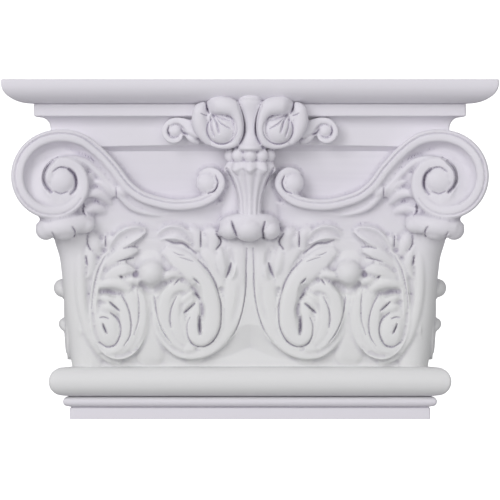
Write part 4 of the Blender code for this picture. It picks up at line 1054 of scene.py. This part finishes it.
@dataclass(frozen=True)
class Flower:
    """The flower at the middle of the crown: a vase between two rolled leaves, with side hooks."""

    axis_depth: float = 77.5 * MM
    ball: tuple[float, float, float] = (22.6 * MM, 233.6 * MM, 77.0 * MM)
    ball_radius: float = 12.5 * MM
    hook_ball: tuple[float, float, float] = (60.6 * MM, 232.6 * MM, 66.0 * MM)
    filling: tuple[float, float, float] = (33.0 * MM, 243.0 * MM, 68.0 * MM)
    hook_filling: tuple[float, float, float] = (54.4 * MM, 232.2 * MM, 63.6 * MM)
    vase: tuple[tuple[float, float], ...] = (
        (0.4, 262.4), (5.4, 261.8), (8.4, 260.4), (9.9, 258.6), (9.4, 257.4), (9.6, 256.2), (8.9, 252.6),
        (6.9, 247.6), (5.2, 242), (4.2, 236.6), (4.0, 231.4), (5.4, 226.6), (7.2, 222.4), (9.2, 219.6),
        (9.6, 218), (6, 216.4), (0.4, 216))
    bands: tuple[tuple[Section, tuple[Row, ...]], ...] = (
        (Section.ROUND, ((33.6, 251.4, 82, 4.4), (28.5, 252.6, 90, 6.8), (22, 252.8, 92, 7.2), (15, 250.8, 92, 6.9),
                         (11, 246, 90.5, 4.7), (8.9, 240, 89, 3.8), (8.6, 233.6, 88, 3.6), (9.8, 227.4, 86.6, 3.5),
                         (12.6, 222.8, 85, 3.2), (18.4, 220.4, 83, 2.6), (24.6, 220.2, 81.4, 2.2),
                         (31, 222.2, 79.4, 2.0))),
        (Section.ROUND, ((35.6, 254.4, 80, 2.0), (39.6, 250, 85, 5.2), (40.8, 243, 85, 6), (39.8, 236, 84, 5.8),
                         (37.2, 229.5, 82, 4.8), (33.4, 224.2, 79.6, 3.2), (28, 221, 77, 1.6))),
        (Section.SLAB, ((41, 233, 74, 7), (46.6, 234.6, 72.6, 6), (51.6, 238.2, 71.6, 3.8), (57, 240.6, 71, 2.5),
                        (63, 240, 71, 2.3), (67.6, 236, 71, 2.2), (68.8, 230.6, 71, 2.1), (66, 225.8, 71, 2.0),
                        (60.8, 224.2, 71, 1.9), (56.4, 226.2, 70.4, 1.6), (54.6, 229.4, 69, 0.9))),
        (Section.ROUND, ((52, 232, 66, 1), (49.4, 228.4, 70, 2.6), (45.6, 225, 70, 2.8), (41, 222.4, 66, 1.2))),
    )

    def carve_into(self, casting: Casting) -> None:
        """Adds the flower to its casting."""
        axis = (0.0, BELL.wall_y - self.axis_depth, 0.0)
        casting.turned([(radius * MM, z * MM) for radius, z in self.vase], axis, rise=0.8 * MM)
        for side in Side:
            place = BELL.front(side)
            for section, rows in self.bands:
                casting.band(drawn(rows, False), section, place, 54.0 * MM, 1.0 * MM, 14)
            casting.dome(place(*self.ball), (self.ball_radius, 10.6 * MM, self.ball_radius), 48)
            casting.dome(place(*self.hook_ball), (5.6 * MM, 5.4 * MM, 5.6 * MM), 28)
            casting.dome(place(*self.filling), (8.0 * MM, 14.0 * MM, 11.0 * MM), 28)
            casting.dome(place(*self.hook_filling), (3.6 * MM, 5.0 * MM, 3.8 * MM), 20)

    def grooves(self) -> list[Chisel]:
        """The veins on the rolled leaves and the notches beside the hooks."""
        veins = (((30.2, 245.2), (27.2, 239.6), (24.8, 231)), ((29.6, 245), (23, 242.4), (16.6, 240.6)),
                 ((31.4, 243.4), (31, 236), (28.6, 228)), ((28.6, 244), (22, 237.4), (16, 234)))
        widths = ((1.4, 3.2), (1.1, 2.2), (1.2, 2.6), (1.0, 1.8))
        cuts = [Chisel(path, width, depth) for path, (width, depth) in zip(veins, widths)]
        x, z, _ = self.ball
        rim = [(x / MM + 12.0 * math.cos(a), z / MM + 12.0 * math.sin(a)) for a in np.linspace(2.2, 7.0, 25)]
        cuts.append(Chisel(tuple(rim), 1.0, 1.8))
        cuts.append(Chisel(((9.2, 253), (6.3, 245), (4.8, 237), (5.3, 229), (8.2, 222.2)), 1.5, 6.0))
        cuts.append(Chisel(((18.8, 201.8), (15.4, 195.8), (12.6, 189.2), (10.8, 182), (9.4, 175)), 1.5, 6.0))
        return [*cuts, Chisel(((55.4, 233.4), (53.4, 230.8), (50.4, 229.4)), 1.2, 3.5),
                Chisel(((35.2, 255.6), (34.6, 250.4), (33, 246.6)), 1.0, 4.0),
                Chisel(((65.2, 236.2), (66.2, 232.4), (64.6, 228.8)), 0.9, 2.4),
                Chisel(((39.4, 246.4), (36.6, 245), (34.4, 244.6)), 0.8, 1.4)]


@dataclass(frozen=True)
class Stem:
    """The fluted trumpet stem with its scalloped skirt and ring of gadroons."""

    axis_depth: float = 62.0 * MM
    gadroons: int = 10
    ring_radius: float = 16.0 * MM
    gadroon_radius: float = 5.5 * MM
    ring_z: float = 212.7 * MM
    flutes: int = 12
    scallops: int = 10
    trumpet: tuple[tuple[float, float], ...] = (
        (0.4, 206), (12, 205.8), (18.6, 204.4), (19.4, 201.4), (16.8, 196), (14.2, 190.4), (11.6, 184), (9.8, 177),
        (9.2, 168), (9.2, 156), (9.6, 150), (0.4, 149.6))
    skirt: tuple[tuple[float, float], ...] = (
        (0.4, 208.4), (16, 208.2), (19.6, 207), (21.4, 204.6), (21.8, 202.6), (20.4, 201.6), (0.4, 201.4))
    core: tuple[tuple[float, float], ...] = (
        (0.4, 217), (12, 216.8), (15, 215.6), (15.8, 213), (15.4, 209), (14, 207.4), (0.4, 207))

    def carve_into(self, casting: Casting) -> None:
        """Adds the stem to its casting."""
        axis = (0.0, BELL.wall_y - self.axis_depth, 0.0)
        rows = [[(radius * MM, z * MM) for radius, z in part] for part in (self.trumpet, self.skirt, self.core)]
        casting.turned(rows[0], axis, self.flutes, 0.10, 144, 0.9 * MM)
        casting.turned(rows[1], axis, self.scallops, 0.14, 144, 0.6 * MM, 2.8 * MM)
        casting.turned(rows[2], axis, 0, 0.0, 96, 0.6 * MM)
        casting.add_mesh(self.gadroon_ring(axis))

    def gadroon_ring(self, axis: Sequence[float]) -> bpy.types.Mesh:
        """The ring of gadroons, set out round the stem by a node tree.

        Args:
            axis: A point on the stem's axis.

        Returns:
            The ring's mesh.
        """
        tree = bpy.data.node_groups.new("Gadroon ring", "GeometryNodeTree")
        sizes = {"Count": ("NodeSocketInt", self.gadroons), "Ring radius": ("NodeSocketFloat", self.ring_radius),
                 "Gadroon radius": ("NodeSocketFloat", self.gadroon_radius)}
        for label, (kind, _) in sizes.items():
            tree.interface.new_socket(label, in_out="INPUT", socket_type=kind)
        tree.interface.new_socket("Geometry", in_out="OUTPUT", socket_type="NodeSocketGeometry")
        given = tree.nodes.new("NodeGroupInput")
        ring = tree.nodes.new("GeometryNodeCurvePrimitiveCircle")
        tree.links.new(given.outputs["Count"], ring.inputs["Resolution"])
        tree.links.new(given.outputs["Ring radius"], ring.inputs["Radius"])
        spots = tree.nodes.new("GeometryNodeCurveToPoints")
        spots.mode = "EVALUATED"
        tree.links.new(ring.outputs["Curve"], spots.inputs["Curve"])
        ball = tree.nodes.new("GeometryNodeMeshUVSphere")
        ball.inputs["Segments"].default_value = 24
        ball.inputs["Rings"].default_value = 16
        tree.links.new(given.outputs["Gadroon radius"], ball.inputs["Radius"])
        tall = tree.nodes.new("GeometryNodeTransform")
        tall.inputs["Scale"].default_value = (0.98, 0.98, 1.0)
        tree.links.new(ball.outputs["Mesh"], tall.inputs["Geometry"])
        copies = tree.nodes.new("GeometryNodeInstanceOnPoints")
        tree.links.new(spots.outputs["Points"], copies.inputs["Points"])
        tree.links.new(tall.outputs["Geometry"], copies.inputs["Instance"])
        real = tree.nodes.new("GeometryNodeRealizeInstances")
        tree.links.new(copies.outputs["Instances"], real.inputs["Geometry"])
        finish = tree.nodes.new("GeometryNodeSetMaterial")
        tree.links.new(real.outputs["Geometry"], finish.inputs["Geometry"])
        result = tree.nodes.new("NodeGroupOutput")
        tree.links.new(finish.outputs["Geometry"], result.inputs["Geometry"])
        holder = bpy.data.objects.new("gadroon_guide", bpy.data.meshes.new("gadroon_guide"))
        bpy.context.scene.collection.objects.link(holder)
        holder.modifiers.new("Gadroons", "NODES").node_group = tree
        for item in tree.interface.items_tree:
            if item.in_out == "INPUT":
                holder.modifiers["Gadroons"][item.identifier] = sizes[item.name][1]
        mesh = applied(holder).data
        mesh.transform(Matrix.Rotation(-math.pi / self.gadroons, 4, "Z"))
        mesh.transform(Matrix.Translation((axis[0], axis[1], self.ring_z)))
        bpy.data.objects.remove(holder)
        return mesh


class Wire:
    """A shader socket that takes part in Python arithmetic."""

    def __init__(self, finish: "Shader", socket: bpy.types.NodeSocket) -> None:
        """Keeps the socket and the shader that it belongs to."""
        self.finish = finish
        self.socket = socket

    def _maths(self, operation: str, first: "Wire | float", second: "Wire | float") -> "Wire":
        """Adds a Math node for two values."""
        return self.finish.node("ShaderNodeMath", {"operation": operation}, {0: first, 1: second})

    def __add__(self, other: "Wire | float") -> "Wire":
        """Adds a value."""
        return self._maths("ADD", self, other)

    __radd__ = __add__

    def __mul__(self, other: "Wire | float") -> "Wire":
        """Multiplies by a value."""
        return self._maths("MULTIPLY", self, other)

    __rmul__ = __mul__

    def __sub__(self, other: "Wire | float") -> "Wire":
        """Takes a value away."""
        return self._maths("SUBTRACT", self, other)

    def __rsub__(self, other: "Wire | float") -> "Wire":
        """Takes this value away from another."""
        return self._maths("SUBTRACT", other, self)

    def clamped(self) -> "Wire":
        """The value held between 0 and 1."""
        return self.finish.node("ShaderNodeClamp", {}, {"Value": self})


class Shader:
    """A material being wired up."""

    def __init__(self, name: str) -> None:
        """Starts an empty material with its output."""
        self.material = bpy.data.materials.new(name)
        self.material.use_nodes = True
        self.tree = self.material.node_tree
        self.tree.nodes.clear()

    def node(self, kind: str, settings: dict[str, object], inputs: dict[str | int, object],
             output: str | int = 0) -> Wire:
        """Adds a node.

        Args:
            kind: The node's type.
            settings: Its settings, made first.
            inputs: The values or links of its sockets.
            output: The output that the result stands for.

        Returns:
            The output's wire.
        """
        made = self.tree.nodes.new(kind)
        for name, value in settings.items():
            setattr(made, name, value)
        for key, value in inputs.items():
            if isinstance(value, Wire):
                self.tree.links.new(value.socket, made.inputs[key])
            else:
                made.inputs[key].default_value = value
        return Wire(self, made.outputs[output])

    def mixed(self, share: Wire | float, first: object, second: object) -> Wire:
        """Mixes two colours.

        Args:
            share: How much of the second colour.
            first: A colour or its wire.
            second: A colour or its wire.

        Returns:
            The mixed colour.
        """
        return self.node("ShaderNodeMix", {"data_type": "RGBA"}, {0: share, 6: first, 7: second}, 2)

    def finished(self, surface: Wire) -> bpy.types.Material:
        """Ends the material with its surface."""
        out = self.tree.nodes.new("ShaderNodeOutputMaterial")
        self.tree.links.new(surface.socket, out.inputs["Surface"])
        return self.material


@dataclass(frozen=True)
class PrimedFoam:
    """Matte white primer over a rigid foam casting."""

    light: tuple[float, float, float, float] = (0.85, 0.835, 0.872, 1.0)
    # Painted light: a warmer neutral that stands in for warm bounce light on the lower part.
    painted_bounce_tint: tuple[float, float, float, float] = (0.85, 0.858, 0.842, 1.0)
    # Painted shade: the purple grey that the hollows are darkened towards.
    painted_crease_shade: tuple[float, float, float, float] = (0.30, 0.265, 0.36, 1.0)
    roughness: float = 0.58
    bounce_tint_top: float = 150.0 * MM
    bounce_tint_bottom: float = 14.0 * MM

    def material(self) -> bpy.types.Material:
        """Wires up the primer: faint clouding, painted shade in the creases, a painted warm tint of bounce light low
        down, orange peel and casting specks.
        """
        shader = Shader("primed_foam")
        place = shader.node("ShaderNodeTexCoord", {}, {}, "Object")
        clouds = shader.node("ShaderNodeTexNoise", {}, {"Vector": place, "Scale": 16.0, "Detail": 3.0}, "Fac")
        peel = shader.node("ShaderNodeTexNoise", {}, {"Vector": place, "Scale": 900.0, "Detail": 2.0}, "Fac")
        specks = shader.node("ShaderNodeTexVoronoi", {}, {"Vector": place, "Scale": 75.0}, "Distance")
        pits = (0.055 - specks).clamped() * 16.0
        cavity = shader.node("ShaderNodeAttribute", {"attribute_name": "cavity"}, {}, "Fac")
        height_up = shader.node("ShaderNodeSeparateXYZ", {}, {"Vector": place}, "Z")
        # Painted light: below about 150 mm the colour is mixed towards the warm bounce tint, and the lowest 14 mm keep
        # the cool colour.
        above_foot = ((height_up - self.bounce_tint_bottom) * 120.0).clamped()
        bounce_share = ((self.bounce_tint_top - height_up) * 16.0 + clouds * 0.5).clamped() * above_foot
        ground = shader.mixed(bounce_share, self.light, self.painted_bounce_tint)
        # Painted shade: the hollows are darkened towards a purple grey, following the cavity attribute.
        color = shader.mixed((cavity * 0.95).clamped(), ground, self.painted_crease_shade)
        rough = self.roughness + (clouds - 0.5) * 0.08 + cavity * 0.15
        height = peel * 0.10 + clouds * 0.5 - pits * 0.35
        bump = shader.node("ShaderNodeBump", {}, {"Strength": 0.22, "Distance": 0.0009, "Height": height}, "Normal")
        surface = shader.node("ShaderNodeBsdfPrincipled", {},
                              {"Base Color": color, "Roughness": rough, "Normal": bump,
                               "Specular IOR Level": 0.32}, "BSDF")
        return shader.finished(surface)


def shade_cavities(made: bpy.types.Object, reach: int, gain: float) -> None:
    """Stores how hollow the surface is at each point, as the cavity attribute, which the material uses to paint shade
    into the hollows and to roughen them.

    Args:
        made: The object.
        reach: How many times the value is spread to its neighbours.
        gain: How strongly a hollow counts.
    """
    mesh = made.data
    count = len(mesh.vertices)
    points = np.empty(count * 3)
    mesh.vertices.foreach_get("co", points)
    points = points.reshape(-1, 3)
    normals = np.empty(count * 3)
    mesh.vertex_normals.foreach_get("vector", normals)
    normals = normals.reshape(-1, 3)
    edges = np.empty(len(mesh.edges) * 2, dtype=np.int64)
    mesh.edges.foreach_get("vertices", edges)
    first, second = edges.reshape(-1, 2).T
    step = points[second] - points[first]
    length = np.linalg.norm(step, axis=1) + 1e-9
    slope_first = (step * normals[first]).sum(axis=1) / length
    slope_second = -(step * normals[second]).sum(axis=1) / length
    links = np.bincount(first, minlength=count) + np.bincount(second, minlength=count) + 1e-9
    value = (np.bincount(first, slope_first, count) + np.bincount(second, slope_second, count)) / links
    for _ in range(reach):
        spread = np.bincount(first, value[second], count) + np.bincount(second, value[first], count)
        value = 0.5 * value + 0.5 * spread / links
    attribute = mesh.attributes.new("cavity", "FLOAT", "POINT")
    attribute.data.foreach_set("value", np.clip(value * gain, 0.0, 1.0).astype(np.float32))


@dataclass(frozen=True)
class Studio:
    """The pale sweep, the soft lights and the camera."""

    view_width: float = 401.5 * MM
    aim: tuple[float, float, float] = (0.0, 0.0, 136.5 * MM)
    distance: float = 16.0

    def build(self) -> None:
        """Sets up the stage, lights and camera."""
        self.sweep()
        self.lights()
        camera = bpy.data.cameras.new("camera")
        camera.sensor_width = 36.0
        front = CAD_LOW.y
        camera.lens = camera.sensor_width * (self.distance + front) / self.view_width
        camera.clip_end = 40.0
        holder = bpy.data.objects.new("camera", camera)
        holder.location = (self.aim[0], -self.distance, self.aim[2])
        holder.rotation_euler = (math.pi / 2.0, 0.0, 0.0)
        bpy.context.scene.collection.objects.link(holder)
        bpy.context.scene.camera = holder
        bpy.context.scene.view_settings.view_transform = "Standard"

    def sweep(self) -> None:
        """Builds the floor and backdrop as one white sweep."""
        floor_z, bend_y, bend, half_width = -0.6 * MM, 18.0, 1.6, 8.0
        profile = [(-6.0, floor_z), (bend_y, floor_z)]
        for index in range(1, 17):
            angle = index / 16 * math.pi / 2.0
            profile.append((bend_y + bend * math.sin(angle), floor_z + bend * (1.0 - math.cos(angle))))
        profile.append((bend_y + bend, 8.0))
        points = [(x, y, z) for y, z in profile for x in (-half_width, half_width)]
        faces = [(2 * i, 2 * i + 1, 2 * i + 3, 2 * i + 2) for i in range(len(profile) - 1)]
        mesh = bpy.data.meshes.new("sweep")
        mesh.from_pydata(points, [], faces)
        mesh.shade_smooth()
        made = bpy.data.objects.new("sweep", mesh)
        bpy.context.scene.collection.objects.link(made)
        shader = Shader("sweep_white")
        surface = shader.node("ShaderNodeBsdfPrincipled", {},
                              {"Base Color": (0.9, 0.9, 0.9, 1.0), "Roughness": 0.9,
                               "Emission Color": (1.0, 1.0, 1.0, 1.0), "Emission Strength": 1.0}, "BSDF")
        mesh.materials.append(shader.finished(surface))
        made.visible_diffuse = False
        made.visible_glossy = False
        made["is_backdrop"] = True

    def lights(self) -> None:
        """Adds the soft key from the upper left, a fill from the right and the pale surroundings."""
        self.area("key", (-1.5, -2.8, 1.3), 1.9, 43.0, (0.98, 0.96, 1.0))
        self.area("fill", (0.6, -3.4, 0.5), 2.2, 21.0, (1.0, 1.0, 0.99))
        world = bpy.data.worlds.new("surroundings")
        world.use_nodes = True
        sky = world.node_tree.nodes["Background"]
        sky.inputs["Color"].default_value = (0.97, 0.96, 1.0, 1.0)
        sky.inputs["Strength"].default_value = 0.39
        bpy.context.scene.world = world

    def area(self, name: str, spot: tuple[float, float, float], size: float, power: float,
             color: tuple[float, float, float]) -> None:
        """Adds one soft light that looks at the capital.

        Args:
            name: Its name.
            spot: Where it stands.
            size: Its width.
            power: Its power in watts.
            color: Its colour.
        """
        light = bpy.data.lights.new(name, "AREA")
        light.shape = "DISK"
        light.size = size
        light.energy = power
        light.color = color
        holder = bpy.data.objects.new(name, light)
        holder.location = spot
        holder.rotation_euler = (Vector(self.aim) - Vector(spot)).to_track_quat("-Z", "Y").to_euler()
        bpy.context.scene.collection.objects.link(holder)


def finish(made: bpy.types.Object, material: bpy.types.Material) -> None:
    """Dresses a piece, ties it to the part and reports it.

    Args:
        made: The finished piece.
        material: Its material.
    """
    made.data.materials.clear()
    made.data.materials.append(material)
    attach(made, "root")
    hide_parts(NODE)
    made.data.calc_loop_triangles()
    LOG.info("%s: %d triangles", made.name, len(made.data.loop_triangles))


def main() -> None:
    """Builds the capital, its finish and its studio."""
    logging.basicConfig(level=logging.INFO, format="%(message)s")
    voxel = 0.55 * MM
    material = PrimedFoam().material()
    mouldings = Mouldings()
    body = mouldings.build()
    shade_cavities(body, 2, 1.2)
    finish(body, material)
    carving = Casting("capital_carving")
    mouldings.skin(carving)
    volute, panel, tips = Volute(), AcanthusPanel(), LeafTips()
    for side in Side:
        volute.carve_into(carving, side)
        panel.carve_into(carving, side)
        panel.return_into(carving, side)
    tips.carve_into(carving)
    fused = carving.fuse(voxel, 4, 1.9 * MM)
    carve(fused, [*volute.grooves(), *panel.grooves(), *tips.grooves()])
    thinned(fused, 194000)
    fused.data.shade_smooth()
    shade_cavities(fused, 2, 3.2)
    finish(fused, material)
    middle = Casting("capital_flower")
    flower, stem = Flower(), Stem()
    flower.carve_into(middle)
    stem.carve_into(middle)
    bloom = middle.fuse(voxel * 0.7, 3, 0.7 * MM)
    carve(bloom, flower.grooves())
    thinned(bloom, 120000)
    bloom.data.shade_smooth()
    shade_cavities(bloom, 2, 3.2)
    finish(bloom, material)
    Studio().build()


if __name__ == "__main__":
    main()
